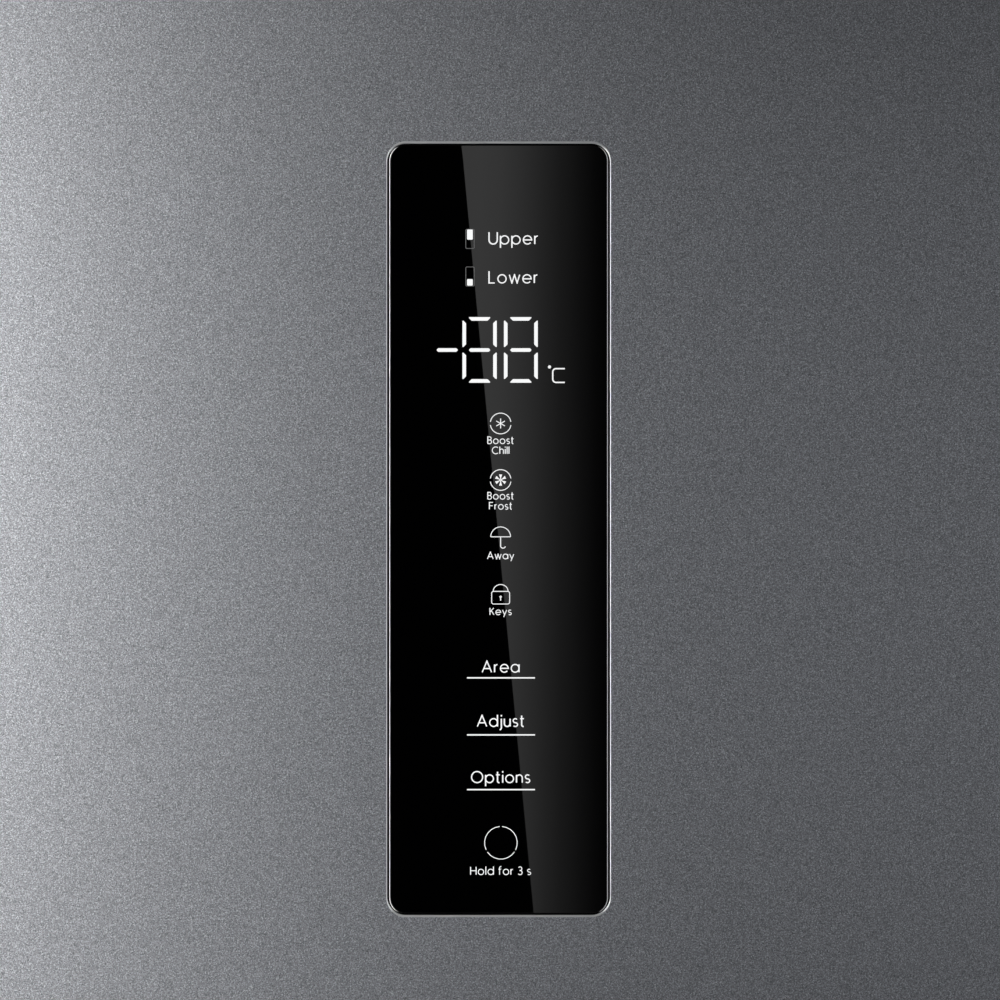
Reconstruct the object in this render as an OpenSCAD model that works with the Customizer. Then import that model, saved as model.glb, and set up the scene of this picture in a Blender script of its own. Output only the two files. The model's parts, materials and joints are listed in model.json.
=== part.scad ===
/* [Overall] */
// Width across the doors and the cabinet
overall_w = 595; // [560:5:700]
// Height from the floor to the top of the hinge covers
overall_h = 1855; // [1780:5:2050]
// Depth from the display glass to the back of the wall spacers
overall_d = 635; // [610:5:720]

/* [Cabinet] */
// Sheet steel of the wrap, the back and the centre rail
sheet_t = 0.8; // [0.6:0.1:1.4]
// Bend radius of the wrap's two top edges
wrap_r = 8; // [4:1:16]
// Plastic sheet of the two compartment liners
liner_t = 2; // [1.5:0.5:3]
// Corner radius of the compartment openings
tub_r = 14; // [6:1:24]
// Insulated wall beside the fridge compartment
fridge_wall = 46; // [44:1:60]
// Insulated wall beside the freezer and above the machine room
freezer_wall = 56; // [48:1:64]
// Insulated wall above the fridge compartment
top_wall = 50; // [40:1:70]
// Insulated wall behind both compartments
back_wall = 52; // [44:1:64]
// Step of the liner rims round the compartment openings
rim_w = 4; // [2:1:8]
// Depth of the plastic spacers that hold the back off the wall
spacer_t = 14; // [8:1:25]
// Height of the hinge covers on the cabinet's top
cover_h = 18; // [16:1:30]

/* [Base] */
// Height of the machine tray above the floor
base_z = 40; // [36:1:55]
// Height of the front pan above the machine tray
pan_lift = 26; // [18:1:36]
// Sheet steel of the base
base_t = 1.2; // [1:0.1:2]
// Depth of the machine room
machine_d = 195; // [180:5:230]
// Height of the machine room
machine_h = 220; // [210:5:240]
// Radius of the rear rollers
roller_r = 18; // [14:1:22]
// Width of the rear rollers
roller_w = 22; // [16:1:30]
// Radius of the roller axles
axle_r = 4; // [3:0.5:6]
// Radius of the levelling feet
foot_r = 20; // [16:1:26]
// Radius of the levelling feet's studs
stud_r = 5; // [4:0.5:6]
// Running clearance round axles, pins and studs
running_gap = 0.05; // [0.03:0.01:0.1]
// Clearance between a moving piece and what it rests on or stops at
rest_gap = 0.3; // [0.2:0.1:0.6]

/* [Doors] */
// Thickness of both doors
door_t = 60; // [54:1:70]
// Steel skin of the doors
skin_t = 0.6; // [0.5:0.1:1]
// Bend radius of the door skins' two front edges
edge_r = 6; // [4:1:12]
// Plastic sheet of the door liners
door_liner_t = 1.5; // [1:0.5:2.5]
// Height of the freezer door's lower edge above the floor
freezer_door_z = 96; // [90:1:110]
// Height of the freezer door
freezer_door_h = 594; // [560:2:640]
// Finger gap between the two doors
handle_gap = 30; // [26:1:40]
// Gap above the fridge door
door_top_gap = 4; // [3:1:8]
// Height of the plain end caps
cap_h = 22; // [20:1:30]
// Height of the end caps that hold the grips
grip_cap_h = 44; // [40:1:60]
// Height of the grip recesses
grip_h = 30; // [24:1:36]
// Depth of the grip recesses
grip_d = 28; // [20:1:32]
// Plastic lip in front of the grip recesses
grip_lip = 5; // [3:1:8]
// Length of the grip recesses
grip_l = 460; // [300:10:490]

/* [Door seals] */
// Space between a closed door and the cabinet
seal_gap = 12; // [10:1:16]
// Width of the magnetic seals
seal_w = 15; // [12:1:18]
// Distance from a door's top and bottom edges to its seal
seal_edge = 6; // [3:1:10]
// Steel face left inside the seals
face_margin = 3; // [2:1:6]

/* [Hinges] */
// Distance from the cabinet's side to the hinge axis
hinge_inset = 18; // [16:1:20]
// Distance from the door's front to the hinge axis
hinge_depth = 24; // [20:1:28]
// Distance from the hinge axis to the seals
seal_to_hinge = 4; // [2:1:8]
// Radius of the hinge pins
pin_r = 5; // [4:0.5:6]
// Length of pin inside a door
pin_grip = 14; // [10:1:18]
// Plate of the top hinge
top_plate_t = 3; // [2:0.5:4]
// Plate of the middle and bottom hinges
hinge_plate_t = 5; // [3:0.5:6]
// Mounting flange of the middle and bottom hinges
flange_t = 3; // [2:0.5:5]
// Radius of the screw shanks
screw_r = 2.5; // [2:0.5:3]

/* [Display] */
// Width of the display glass
glass_w = 56.5; // [50:0.5:70]
// Height of the display glass
glass_h = 200.6; // [180:0.2:230]
// Corner radius of the display glass
glass_r = 4; // [3:0.1:8]
// Thickness of the display glass
glass_t = 2; // [1.5:0.5:3]
// Height of the display's centre above the floor
display_z = 1400; // [1300:10:1450]
// How far the glass stands out of the door skin
display_proud = 0.4; // [0.2:0.1:1]
// Width of the frame round the glass
bezel_w = 1.1; // [0.8:0.05:2]
// Width of each of the frame's two raised lines
bezel_lip = 0.3; // [0.2:0.05:0.6]
// Depth of the pocket that holds the display's electronics
housing_d = 24; // [18:1:30]
// Wall of the display's housing
housing_wall = 2; // [1.5:0.5:3]

/* [Door bins] */
// Depth of the door bins
bin_d = 98; // [80:1:104]
// Wall of the bins and drawers
bin_wall = 2.5; // [2:0.5:4]
// Distance from the hinge axis to the ends of the bins
bin_inset = 60; // [58:1:90]
// Height of the bottle bin
bottle_bin_h = 110; // [90:2:130]
// Height of the middle bin
middle_bin_h = 84; // [60:2:110]
// Height of the dairy bin
dairy_bin_h = 92; // [70:2:110]
// Height of the inner ridge on the fridge door
fridge_ridge_h = 20; // [12:1:24]
// Height of the dykes that carry the bins
dyke_h = 70; // [50:1:76]
// Width of the dykes
dyke_w = 15; // [12:1:18]
// Height of the inner ridge on the freezer door
freezer_ridge_h = 12; // [8:1:12]

/* [Shelves and drawers] */
// Glass of the shelves
shelf_t = 4; // [3:0.5:6]
// Width of the shelf trims that show in front of the glass
trim_lip = 4; // [3:1:8]
// Height of the crispers
crisper_h = 186; // [150:2:210]
// Height of the chill drawer
chill_h = 104; // [80:2:130]
// Distance from the hinge axis to the fridge drawers
fridge_drawer_inset = 53; // [53:1:70]
// Distance from the hinge axis to the freezer drawers
freezer_drawer_inset = 57; // [57:1:75]
// Depth of the air duct on the fridge compartment's back
duct_d = 26; // [18:1:36]
// Width of the air duct
duct_w = 160; // [120:5:200]
// Depth of the evaporator chamber
evaporator_d = 62; // [58:1:72]
// Clearance between a drawer and its side guides
guide_gap = 1; // [0.6:0.1:2]
// Radius of the evaporator fan
fan_r = 52; // [44:1:56]
// Travel of the humidity slider each way
slider_travel = 15; // [8:1:20]

/* [Hidden] */
$fn = 48;
cut = 1;

// Outer planes
half_w = overall_w / 2;
door_front = -overall_d / 2 + display_proud;
door_back = door_front + door_t;
cab_front = door_back + seal_gap;
cab_back = overall_d / 2 - spacer_t;
cab_top = overall_h - cover_h;

// Hinge axis
hinge_x = half_w - hinge_inset;
hinge_y = door_front + hinge_depth;

// Width of the hinge covers and how far they reach over the cabinet
hinge_cover_w = 74;
hinge_cover_d = 88;

// Door edges and the steel faces behind the seals
freezer_door_top = freezer_door_z + freezer_door_h;
fridge_door_z = freezer_door_top + handle_gap;
fridge_door_top = cab_top - door_top_gap;
seal_x = hinge_x - seal_to_hinge;
seal_band = seal_edge + seal_w + face_margin;
face_x = seal_x - seal_w - face_margin;
face_top = fridge_door_top - seal_band;
rail_top = fridge_door_z + seal_band;
rail_bottom = freezer_door_top - seal_band;
sill_top = freezer_door_z + seal_band;

// Compartments
fridge_x = half_w - fridge_wall;
fridge_floor = rail_top + rim_w;
fridge_ceiling = cab_top - top_wall;
fridge_back = cab_back - back_wall;
freezer_x = half_w - freezer_wall;
freezer_floor = sill_top + rim_w;
freezer_ceiling = rail_bottom - rim_w;
freezer_back = fridge_back;

// Base and machine room
pan_z = base_z + pan_lift;
machine_front = cab_back - machine_d;
machine_top = base_z + machine_h;
step_y = machine_front - freezer_wall;
step_z = machine_top + freezer_wall;
foot_x = half_w - 45;
foot_y = cab_front + 40;
roller_y = cab_back - 55;

// Fridge compartment
bin_x = hinge_x - bin_inset;
bin_back = door_back + bin_d;
store_front = bin_back + 10;
duct_front = fridge_back - duct_d;
shelf_x = fridge_x - 1;
shelf_front = store_front + trim_lip;
shelf_back = duct_front - 2 - trim_lip;
ledge_w = 10;
ledge_h = 6;
trim_h = 12;
trim_grip = 10;
fridge_drawer_x = hinge_x - fridge_drawer_inset;
crisper_cover_z = fridge_floor + crisper_h + trim_h / 2;
chill_z = crisper_cover_z + shelf_t;
shelf_lower_z = chill_z + chill_h + trim_h / 2;
shelf_pitch = (fridge_ceiling - shelf_lower_z) / 3;
shelf_middle_z = shelf_lower_z + shelf_pitch;
shelf_upper_z = shelf_middle_z + shelf_pitch;
drawer_back = duct_front - 10;
drawer_r = 10;
lamp_front = shelf_front + 30;
lamp_w = 190;
lamp_d = 70;
lamp_rim = 12;
lamp_t = 4;
lens_t = 10;

// Freezer compartment
freezer_drawer_x = hinge_x - freezer_drawer_inset;
freezer_front = cab_front + 20;
evaporator_front = freezer_back - evaporator_d;
cover_t = 2.5;
freezer_shelf_x = freezer_x - 1;
freezer_shelf_back = evaporator_front - 2;
freezer_lower_z = step_z + tub_r + 2;
freezer_upper_z = (freezer_lower_z + freezer_ceiling) / 2 - shelf_t / 2;
fan_z = freezer_ceiling - fan_r - 14;
fan_hub_r = 16;
shaft_r = 2;

// Door interiors
fridge_ridge_x = fridge_x - 11.5;
fridge_ridge_z0 = fridge_door_z + grip_cap_h + 4;
fridge_ridge_z1 = fridge_ceiling - 10;
freezer_ridge_x = freezer_x - 13;
freezer_ridge_z0 = freezer_floor + 10;
freezer_ridge_z1 = freezer_door_top - grip_cap_h - 4;
freezer_ridge_w = 20;
bottle_bin_z = fridge_ridge_z0 + 32;
dairy_bin_z = fridge_ridge_z1 - dairy_bin_h - 120;
middle_bin_z = (bottle_bin_z + dairy_bin_z) / 2;

// Display
opening_w = glass_w + 2 * bezel_w;
opening_h = glass_h + 2 * bezel_w;
opening_r = glass_r + bezel_w;
housing_lap = 4;
housing_front = door_front + skin_t;
housing_w = opening_w + 2 * housing_lap;
housing_h = opening_h + 2 * housing_lap;
housing_back = housing_front + housing_d;

// Dairy lid
lid_t = 2.5;
lid_pin_r = 2.5;
lid_axis_y = door_back + 7;
lid_axis_z = dairy_bin_z + dairy_bin_h - 5;

// Machine room
pot_r = 62;
pot_x = -70;
pot_y = machine_front + machine_d / 2;
mount_h = 14;
pot_z = base_z + base_t + mount_h;
pot_plate_t = 3;
pot_h = 130;
pot_top = pot_z + pot_plate_t + pot_h;
pipe_r = 4;
mount_dx = 84;
mount_dy = 52;
suction_h = 40;
suction_reach = 118;
discharge_h = 48;
discharge_reach = 112;
dryer_r = 9;
dryer_l = 80;
dryer_z = 84;
drip_w = 160;
drip_d = 120;
drip_h = 34;

// Mains inlet, in the rear cover
inlet_x = half_w - 92.5;
inlet_z = base_z + 52;
inlet_w = 48;
inlet_h = 28;

// Points and shapes used all over
module block(from, to) {
  translate(from) cube(to - from);
}

module rounded(size, r) {
  square([size.x - 2 * r, size.y], center = true);
  square([size.x, size.y - 2 * r], center = true);
  for (sx = [-1, 1], sy = [-1, 1])
    translate([sx * (size.x / 2 - r), sy * (size.y / 2 - r)]) circle(r);
}

// Extrudes a drawing of X and Z from y0 to y1
module along_y(y0, y1) {
  translate([0, y1, 0]) rotate([90, 0, 0]) linear_extrude(y1 - y0) children();
}

// Box with its four edges along Y rounded
module slab_y(from, to, r) {
  along_y(from.y, to.y)
    translate([(from.x + to.x) / 2, (from.z + to.z) / 2])
      rounded([to.x - from.x, to.z - from.z], r);
}

// Box with its four edges along Z rounded
module slab_z(from, to, r) {
  translate([(from.x + to.x) / 2, (from.y + to.y) / 2, from.z])
    linear_extrude(to.z - from.z) rounded([to.x - from.x, to.y - from.y], r);
}

module post(at, r, h) {
  translate(at) cylinder(r = r, h = h);
}

// Rod along X, from its low end
module rod_x(at, r, l) {
  translate(at) rotate([0, 90, 0]) cylinder(r = r, h = l);
}

// Rod along Y, from its front end
module rod_y(at, r, l) {
  translate(at) rotate([-90, 0, 0]) cylinder(r = r, h = l);
}

// Cabinet section in X and Z with its two top corners rounded
module cabinet_section(inset) {
  w = half_w - inset;
  top = cab_top - inset;
  r = wrap_r - inset;
  translate([-w, base_z]) square([2 * w, top - r - base_z]);
  translate([r - w, base_z]) square([2 * (w - r), top - base_z]);
  for (side = [-1, 1]) translate([side * (w - r), top - r]) circle(r);
}

// Door section in X and Y with its two front corners rounded
module door_section(inset, back) {
  w = half_w - inset;
  front = door_front + inset;
  r = edge_r - inset;
  translate([-w, front + r]) square([2 * w, back - front - r]);
  translate([r - w, front]) square([2 * (w - r), back - front]);
  for (side = [-1, 1]) translate([side * (w - r), front + r]) circle(r);
}

// Screws, each as [x, y, z] of the underside of its head
top_screws = [
  [hinge_x - 36, cab_front + 18, cab_top + top_plate_t],
  [hinge_x - 8, cab_front + 18, cab_top + top_plate_t],
  [hinge_x - 22, cab_front + 56, cab_top + top_plate_t]
];
gap_z = freezer_door_top + handle_gap / 2;
sill_screw_z = (pan_z + freezer_door_z - 5) / 2;
front_screws = [
  for (dx = [68, 44], z = [gap_z, sill_screw_z]) [hinge_x - dx, cab_front - flange_t, z]
];
screw_hole_r = screw_r + 0.1;

module top_screw_holes() {
  for (p = top_screws) post(p - [0, 0, 10], screw_hole_r, 20);
}

module front_screw_holes() {
  for (p = front_screws) rod_y(p - [0, 5, 0], screw_hole_r, 15);
}

// Outer wrap: both sides, the top and the folded steel face
module cabinet_shell() {
  color("#8d9196") difference() {
    along_y(cab_front, cab_back) cabinet_section(0);
    difference() {
      along_y(cab_front + sheet_t, cab_back + cut) cabinet_section(sheet_t);
      block([-half_w, cab_front, 0], [half_w, cab_back, base_z - cut]);
    }
    block([-half_w + sheet_t, cab_front + sheet_t, 0], [half_w - sheet_t, cab_back + cut, base_z + cut]);
    block([-face_x, cab_front - cut, 0], [face_x, cab_front + sheet_t + cut, face_top]);
    top_screw_holes();
  }
}

module back_panel() {
  rib_w = 60;
  rib_h = 2;
  color("#b9bcbe") union() {
    difference() {
      along_y(cab_back - sheet_t, cab_back) cabinet_section(sheet_t);
      block([-half_w, cab_front, 0], [half_w, cab_back + cut, machine_top]);
    }
    for (x = [-3 : 3])
      slab_y(
        [x * 75 - rib_w / 2, cab_back - sheet_t, machine_top + 60],
        [x * 75 + rib_w / 2, cab_back + rib_h, cab_top - 150], 6
      );
  }
}

module fridge_tub() {
  slab_y(
    [-fridge_x - liner_t, cab_front, fridge_floor - liner_t],
    [fridge_x + liner_t, fridge_back + liner_t, fridge_ceiling + liner_t], tub_r + liner_t
  );
  block([-face_x, cab_front, rail_top], [face_x, cab_front + liner_t, face_top]);
}

module freezer_tub() {
  w = freezer_x + liner_t;
  top = freezer_ceiling + liner_t;
  slab_y([-w, cab_front, freezer_floor - liner_t], [w, step_y + liner_t, top], tub_r + liner_t);
  slab_y([-w, cab_front, step_z - liner_t], [w, freezer_back + liner_t, top], tub_r + liner_t);
  block([-face_x, cab_front, sill_top], [face_x, cab_front + liner_t, rail_bottom]);
}

module cabinet_foam() {
  color("#e6d9a8") difference() {
    along_y(cab_front + sheet_t, cab_back - sheet_t) cabinet_section(sheet_t);
    block([-half_w, cab_front, 0], [half_w, cab_back, pan_z + base_t]);
    block([-half_w, machine_front - base_t, 0], [half_w, cab_back, machine_top + base_t]);
    block([-face_x, cab_front, pan_z], [face_x, cab_front + base_t, sill_top]);
    fridge_tub();
    freezer_tub();
  }
}

fridge_shelves = [crisper_cover_z, shelf_lower_z, shelf_middle_z, shelf_upper_z];

// Liner ribs beside the drawers, at the heights given
module side_guides(wall_x, drawer_x, front, back, heights) {
  for (z = heights, side = [-1, 1])
    block(
      [side > 0 ? drawer_x + guide_gap : -wall_x - liner_t / 2, front, z - 5],
      [side > 0 ? wall_x + liner_t / 2 : -drawer_x - guide_gap, back, z + 5]
    );
}

// Two liner ledges that carry a shelf whose underside is at height z
module shelf_ledges(wall_x, front, back, z) {
  for (side = [-1, 1])
    block(
      [side > 0 ? wall_x - ledge_w : -wall_x - liner_t / 2, front, z - ledge_h],
      [side > 0 ? wall_x + liner_t / 2 : ledge_w - wall_x, back, z]
    );
}

module fridge_liner() {
  color("#f1f3f4") union() {
    difference() {
      fridge_tub();
      slab_y([-fridge_x, cab_front - cut, fridge_floor], [fridge_x, fridge_back, fridge_ceiling], tub_r);
    }
    side_guides(fridge_x, fridge_drawer_x, store_front + 12, drawer_back, [
      fridge_floor + crisper_h / 2, chill_z + chill_h / 2
    ]);
    for (z = fridge_shelves)
      shelf_ledges(fridge_x, shelf_front + trim_grip + 2, shelf_back - trim_grip - 2, z);
  }
}

module freezer_liner() {
  color("#f1f3f4") union() {
    difference() {
      freezer_tub();
      slab_y([-freezer_x, cab_front - cut, freezer_floor], [freezer_x, step_y, freezer_ceiling], tub_r);
      slab_y([-freezer_x, cab_front - cut, step_z], [freezer_x, freezer_back, freezer_ceiling], tub_r);
    }
    side_guides(freezer_x, freezer_drawer_x, freezer_front + 12, step_y - 8, [
      (freezer_floor + freezer_lower_z) / 2
    ]);
    side_guides(freezer_x, freezer_drawer_x, freezer_front + 12, freezer_shelf_back - 6, [
      (freezer_lower_z + freezer_upper_z) / 2, (freezer_upper_z + freezer_ceiling) / 2
    ]);
    shelf_ledges(freezer_x, freezer_front + 8, step_y + liner_t / 2, freezer_lower_z);
    shelf_ledges(freezer_x, freezer_front + 8, freezer_shelf_back - 6, freezer_upper_z);
  }
}

module centre_rail() {
  color("#9a9ea2") difference() {
    block([-face_x, cab_front, rail_bottom], [face_x, cab_front + sheet_t, rail_top]);
    front_screw_holes();
  }
}

// Two ears under the tray and the axle that they hold
module roller_bracket(x) {
  ear_t = 2;
  ear_in = roller_w / 2 + 1;
  ear_w = axle_r + 5;
  for (side = [-1, 1])
    translate([x + side * (ear_in + ear_t / 2), roller_y, 0])
      block([-ear_t / 2, -ear_w, roller_r - axle_r - 3], [ear_t / 2, ear_w, base_z + base_t / 2]);
  rod_x([x - ear_in - ear_t - 1, roller_y, roller_r], axle_r, 2 * (ear_in + ear_t + 1));
}

module base_frame() {
  w = half_w - sheet_t;
  boss_r = stud_r + 7;
  color("#6f7478") difference() {
    union() {
      block([-w, cab_front + sheet_t, pan_z], [w, machine_front, pan_z + base_t]);
      block([-face_x, cab_front, pan_z], [face_x, cab_front + base_t, sill_top]);
      block([-w, machine_front - base_t, base_z], [w, machine_front, machine_top + base_t]);
      block([-w, machine_front - base_t, machine_top], [w, cab_back - sheet_t, machine_top + base_t]);
      block([-w, machine_front - base_t, base_z], [w, cab_back, base_z + base_t]);
      for (side = [-1, 1]) {
        post([side * foot_x, foot_y, base_z - 4], boss_r, pan_z - base_z + 4 + base_t / 2);
        roller_bracket(side * foot_x);
      }
    }
    for (side = [-1, 1])
      post([side * foot_x, foot_y, base_z - 5], stud_r + running_gap, pan_z - base_z + 5);
    front_screw_holes();
  }
}

module plinth_grille() {
  front = door_front + 22;
  t = 3;
  w = half_w - 4;
  low = 14;
  high = freezer_door_z - 12;
  slot_l = 34;
  color("#3b3e41") union() {
    difference() {
      slab_y([-w, front, low], [w, front + t, high], 4);
      for (x = [-5 : 5], z = [0 : 2])
        slab_y(
          [x * 46 - slot_l / 2, front - cut, low + 18 + z * 13],
          [x * 46 + slot_l / 2, front + t + cut, low + 24 + z * 13], 2.5
        );
    }
    for (side = [-1, 1])
      block(
        [side > 0 ? w - t : -w, front + t / 2, low + 4],
        [side > 0 ? w : t - w, cab_front - flange_t - 1, high - 4]
      );
    for (x = [-150, 0, 150])
      block([x - 9, front + t / 2, pan_z + 4], [x + 9, cab_front, pan_z + 12]);
  }
}

module top_hinge() {
  color("#a9adb0") difference() {
    union() {
      slab_z(
        [hinge_x - 46, hinge_y - 12, cab_top],
        [hinge_x + 12, cab_front + 70, cab_top + top_plate_t], 6
      );
      post([hinge_x, hinge_y, fridge_door_top - pin_grip], pin_r, pin_grip + door_top_gap + top_plate_t);
    }
    top_screw_holes();
  }
}

// Bracket with a plate at height z, its mounting flange and its foot on the steel face
module front_bracket(z, flange_low, flange_high) {
  slab_z(
    [hinge_x - 26, hinge_y - 12, z - hinge_plate_t / 2],
    [hinge_x + 12, cab_front - flange_t / 2, z + hinge_plate_t / 2], 5
  );
  block(
    [hinge_x - 26, hinge_y + 12, z - hinge_plate_t / 2],
    [hinge_x + 12, cab_front - flange_t / 2, z + hinge_plate_t / 2]
  );
  slab_y([hinge_x - 80, cab_front - flange_t, flange_low], [hinge_x + 12, cab_front, flange_high], 3);
}

module middle_hinge() {
  collar_r = pin_r + 3;
  color("#a9adb0") difference() {
    union() {
      front_bracket(gap_z, freezer_door_top + 2, fridge_door_z - 2);
      post([hinge_x, hinge_y, freezer_door_top + rest_gap], collar_r, handle_gap - 2 * rest_gap);
      post([hinge_x, hinge_y, freezer_door_top - pin_grip], pin_r, handle_gap + 2 * pin_grip);
    }
    front_screw_holes();
  }
}

module bottom_hinge() {
  z = freezer_door_z - 5 - hinge_plate_t / 2;
  color("#a9adb0") difference() {
    union() {
      front_bracket(z, pan_z, z + hinge_plate_t / 2);
      post([hinge_x, hinge_y, z], pin_r + 3, freezer_door_z - rest_gap - z);
      post([hinge_x, hinge_y, z], pin_r, freezer_door_z + pin_grip - z);
    }
    front_screw_holes();
  }
}

module hinge_screws() {
  head_r = 2 * screw_r;
  head_h = screw_r;
  color("#c9cccf") union() {
    for (p = top_screws) {
      post(p, head_r, head_h);
      post(p - [0, 0, top_plate_t + sheet_t], screw_r, top_plate_t + sheet_t + head_h / 2);
    }
    for (p = front_screws) {
      rod_y(p - [0, head_h, 0], head_r, head_h);
      rod_y(p - [0, head_h / 2, 0], screw_r, flange_t + sheet_t + head_h / 2);
    }
  }
}

// Right cover hides the hinge, left cover closes the spare hinge place
module hinge_covers() {
  wall = 2;
  w = hinge_cover_w;
  back = cab_front + hinge_cover_d;
  color("#55595d") union() {
    for (side = [-1, 1]) {
      front = side > 0 ? door_front + 6 : cab_front + 1;
      x0 = side > 0 ? half_w - 0.5 - w : 0.5 - half_w;
      difference() {
        slab_z([x0, front, cab_top], [x0 + w, back, overall_h], 10);
        slab_z(
          [x0 + wall, front + wall, cab_top - cut],
          [x0 + w - wall, back - wall, overall_h - wall], 8
        );
      }
    }
  }
}

module compressor() {
  color("#26282a") translate([pot_x, pot_y, 0]) union() {
    slab_z(
      [-mount_dx - 14, -mount_dy - 14, pot_z],
      [mount_dx + 14, mount_dy + 14, pot_z + pot_plate_t], 12
    );
    rotate_extrude() polygon([
      [0, pot_z], [pot_r - 14, pot_z], [pot_r - 4, pot_z + 12], [pot_r, pot_z + 24],
      [pot_r, pot_z + 66], [pot_r + 4, pot_z + 66], [pot_r + 4, pot_z + 74], [pot_r, pot_z + 74],
      [pot_r - 2, pot_top - 30], [pot_r - 12, pot_top - 12], [pot_r - 26, pot_top], [0, pot_top]
    ]);
  }
}

module compressor_mounts() {
  color("#1b1c1d") union() {
    for (dx = [-1, 1], dy = [-1, 1])
      translate([pot_x + dx * mount_dx, pot_y + dy * mount_dy, base_z + base_t]) rotate_extrude()
        polygon([
          [0, 0], [11, 0], [11, mount_h * 0.35], [8, mount_h * 0.5],
          [11, mount_h * 0.65], [11, mount_h], [0, mount_h]
        ]);
  }
}

module inverter_box() {
  x = 60;
  color("#dfe2e4") union() {
    slab_z([x, pot_y - 55, base_z + base_t], [x + 84, pot_y + 40, base_z + base_t + 96], 6);
    slab_z([x - 3, pot_y - 58, base_z + base_t + 72], [x + 87, pot_y + 43, base_z + base_t + 80], 8);
  }
}

// Tube that leaves the pot at one side, bends and rises to the roof of the machine room
module riser(side, z, reach) {
  bend_r = 16;
  end_x = side * reach;
  translate([pot_x, pot_y, 0]) difference() {
    union() {
      rod_x([side > 0 ? 0 : bend_r - reach, 0, z], pipe_r, reach - bend_r);
      translate([end_x - side * bend_r, 0, z + bend_r])
        rotate([90, 0, 0]) rotate([0, 0, side > 0 ? -90 : 180])
          rotate_extrude(angle = 90) translate([bend_r, 0]) circle(pipe_r);
      post([end_x, 0, z + bend_r], pipe_r, machine_top - z - bend_r);
    }
    post([0, 0, pot_z], pot_r + rest_gap / 10, pot_h);
  }
}

module refrigerant_pipes() {
  color("#b5703f") union() {
    riser(-1, pot_z + suction_h, suction_reach);
    riser(1, pot_z + discharge_h, discharge_reach);
    post([pot_x - suction_reach, pot_y, pot_z + dryer_z], dryer_r, dryer_l);
  }
}

module drip_tray() {
  wall = 2;
  dx = drip_w / 2;
  dy = drip_d / 2;
  z = pot_top;
  color("#2f3234") difference() {
    slab_z([pot_x - dx, pot_y - dy, z], [pot_x + dx, pot_y + dy, z + drip_h], 12);
    slab_z(
      [pot_x - dx + wall, pot_y - dy + wall, z + wall],
      [pot_x + dx - wall, pot_y + dy - wall, z + drip_h + cut], 10
    );
  }
}

module inlet_outline(grow) {
  translate([inlet_x, inlet_z]) rounded([inlet_w + 2 * grow, inlet_h + 2 * grow], 3);
}

module rear_cover() {
  t = 1.2;
  low = base_z + base_t;
  color("#a4a8ab") difference() {
    slab_y([sheet_t + 1 - half_w, cab_back - t, low], [half_w - sheet_t - 1, cab_back, machine_top], 4);
    along_y(cab_back - t - cut, cab_back + cut) inlet_outline(0);
    for (x = [-11 : 11], z = [0 : 1])
      slab_y(
        [x * 22 - 3, cab_back - t - cut, machine_top - 130 + z * 54],
        [x * 22 + 3, cab_back + cut, machine_top - 88 + z * 54], 2.5
      );
  }
}

module mains_inlet() {
  well_w = 24;
  well_h = 16;
  well_d = 16;
  flange = 2;
  color("#17181a") union() {
    difference() {
      union() {
        along_y(cab_back - 24, cab_back) inlet_outline(0);
        along_y(cab_back, cab_back + flange) inlet_outline(4);
      }
      slab_y(
        [inlet_x - well_w / 2, cab_back + flange - well_d, inlet_z - well_h / 2],
        [inlet_x + well_w / 2, cab_back + flange + cut, inlet_z + well_h / 2], 2
      );
    }
    for (p = [[-7, -2], [0, 3], [7, -2]])
      block(
        [inlet_x + p.x - 1, cab_back - 18, inlet_z + p.y - 2],
        [inlet_x + p.x + 1, cab_back - 5, inlet_z + p.y + 2]
      );
  }
}

module wall_spacers() {
  color("#2b2d2f") union() {
    for (side = [-1, 1], z = [machine_top + 30, cab_top - 110])
      slab_y(
        [side * (half_w - 50) - 20, cab_back, z - 25],
        [side * (half_w - 50) + 20, cab_back + spacer_t, z + 25], 6
      );
  }
}

module air_duct_cover() {
  wall = 2;
  low = shelf_lower_z + 30;
  high = fridge_ceiling - 30;
  w = duct_w / 2;
  vents = [shelf_lower_z + 90, shelf_middle_z + 60, shelf_upper_z + 60, high - 64];
  color("#eef0f1") difference() {
    slab_y([-w, duct_front, low], [w, fridge_back, high], 12);
    slab_y([wall - w, duct_front + wall, low + wall], [w - wall, fridge_back + cut, high - wall], 10);
    for (z = vents, side = [-1, 1], row = [0, 1])
      slab_y(
        [side * w / 2 - 24, duct_front - cut, z + row * 16],
        [side * w / 2 + 24, duct_front + wall + cut, z + 7 + row * 16], 3
      );
  }
}

module ceiling_lamp() {
  color("#f7fbff") union() {
    slab_z(
      [-lamp_w / 2, lamp_front, fridge_ceiling - lamp_t],
      [lamp_w / 2, lamp_front + lamp_d, fridge_ceiling], 12
    );
    slab_z(
      [lamp_rim - lamp_w / 2, lamp_front + lamp_rim, fridge_ceiling - lens_t],
      [lamp_w / 2 - lamp_rim, lamp_front + lamp_d - lamp_rim, fridge_ceiling - lamp_t / 2], 8
    );
  }
}

// Glass shelf whose underside is at height z
module shelf_glass(z) {
  color("#cfe3e0") block([-shelf_x, shelf_front, z], [shelf_x, shelf_back, z + shelf_t]);
}

module shelf_upper() {
  shelf_glass(shelf_upper_z);
}

module shelf_middle() {
  shelf_glass(shelf_middle_z);
}

module shelf_lower() {
  shelf_glass(shelf_lower_z);
}

module crisper_cover() {
  shelf_glass(crisper_cover_z);
}

// Slot in the front trim of the crisper cover, where the humidity slider runs
slot_z = crisper_cover_z;
slider_w = 30;
slider_h = 4.4;
slot_d = trim_lip - 1.5;
slot_x = -90;

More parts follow.
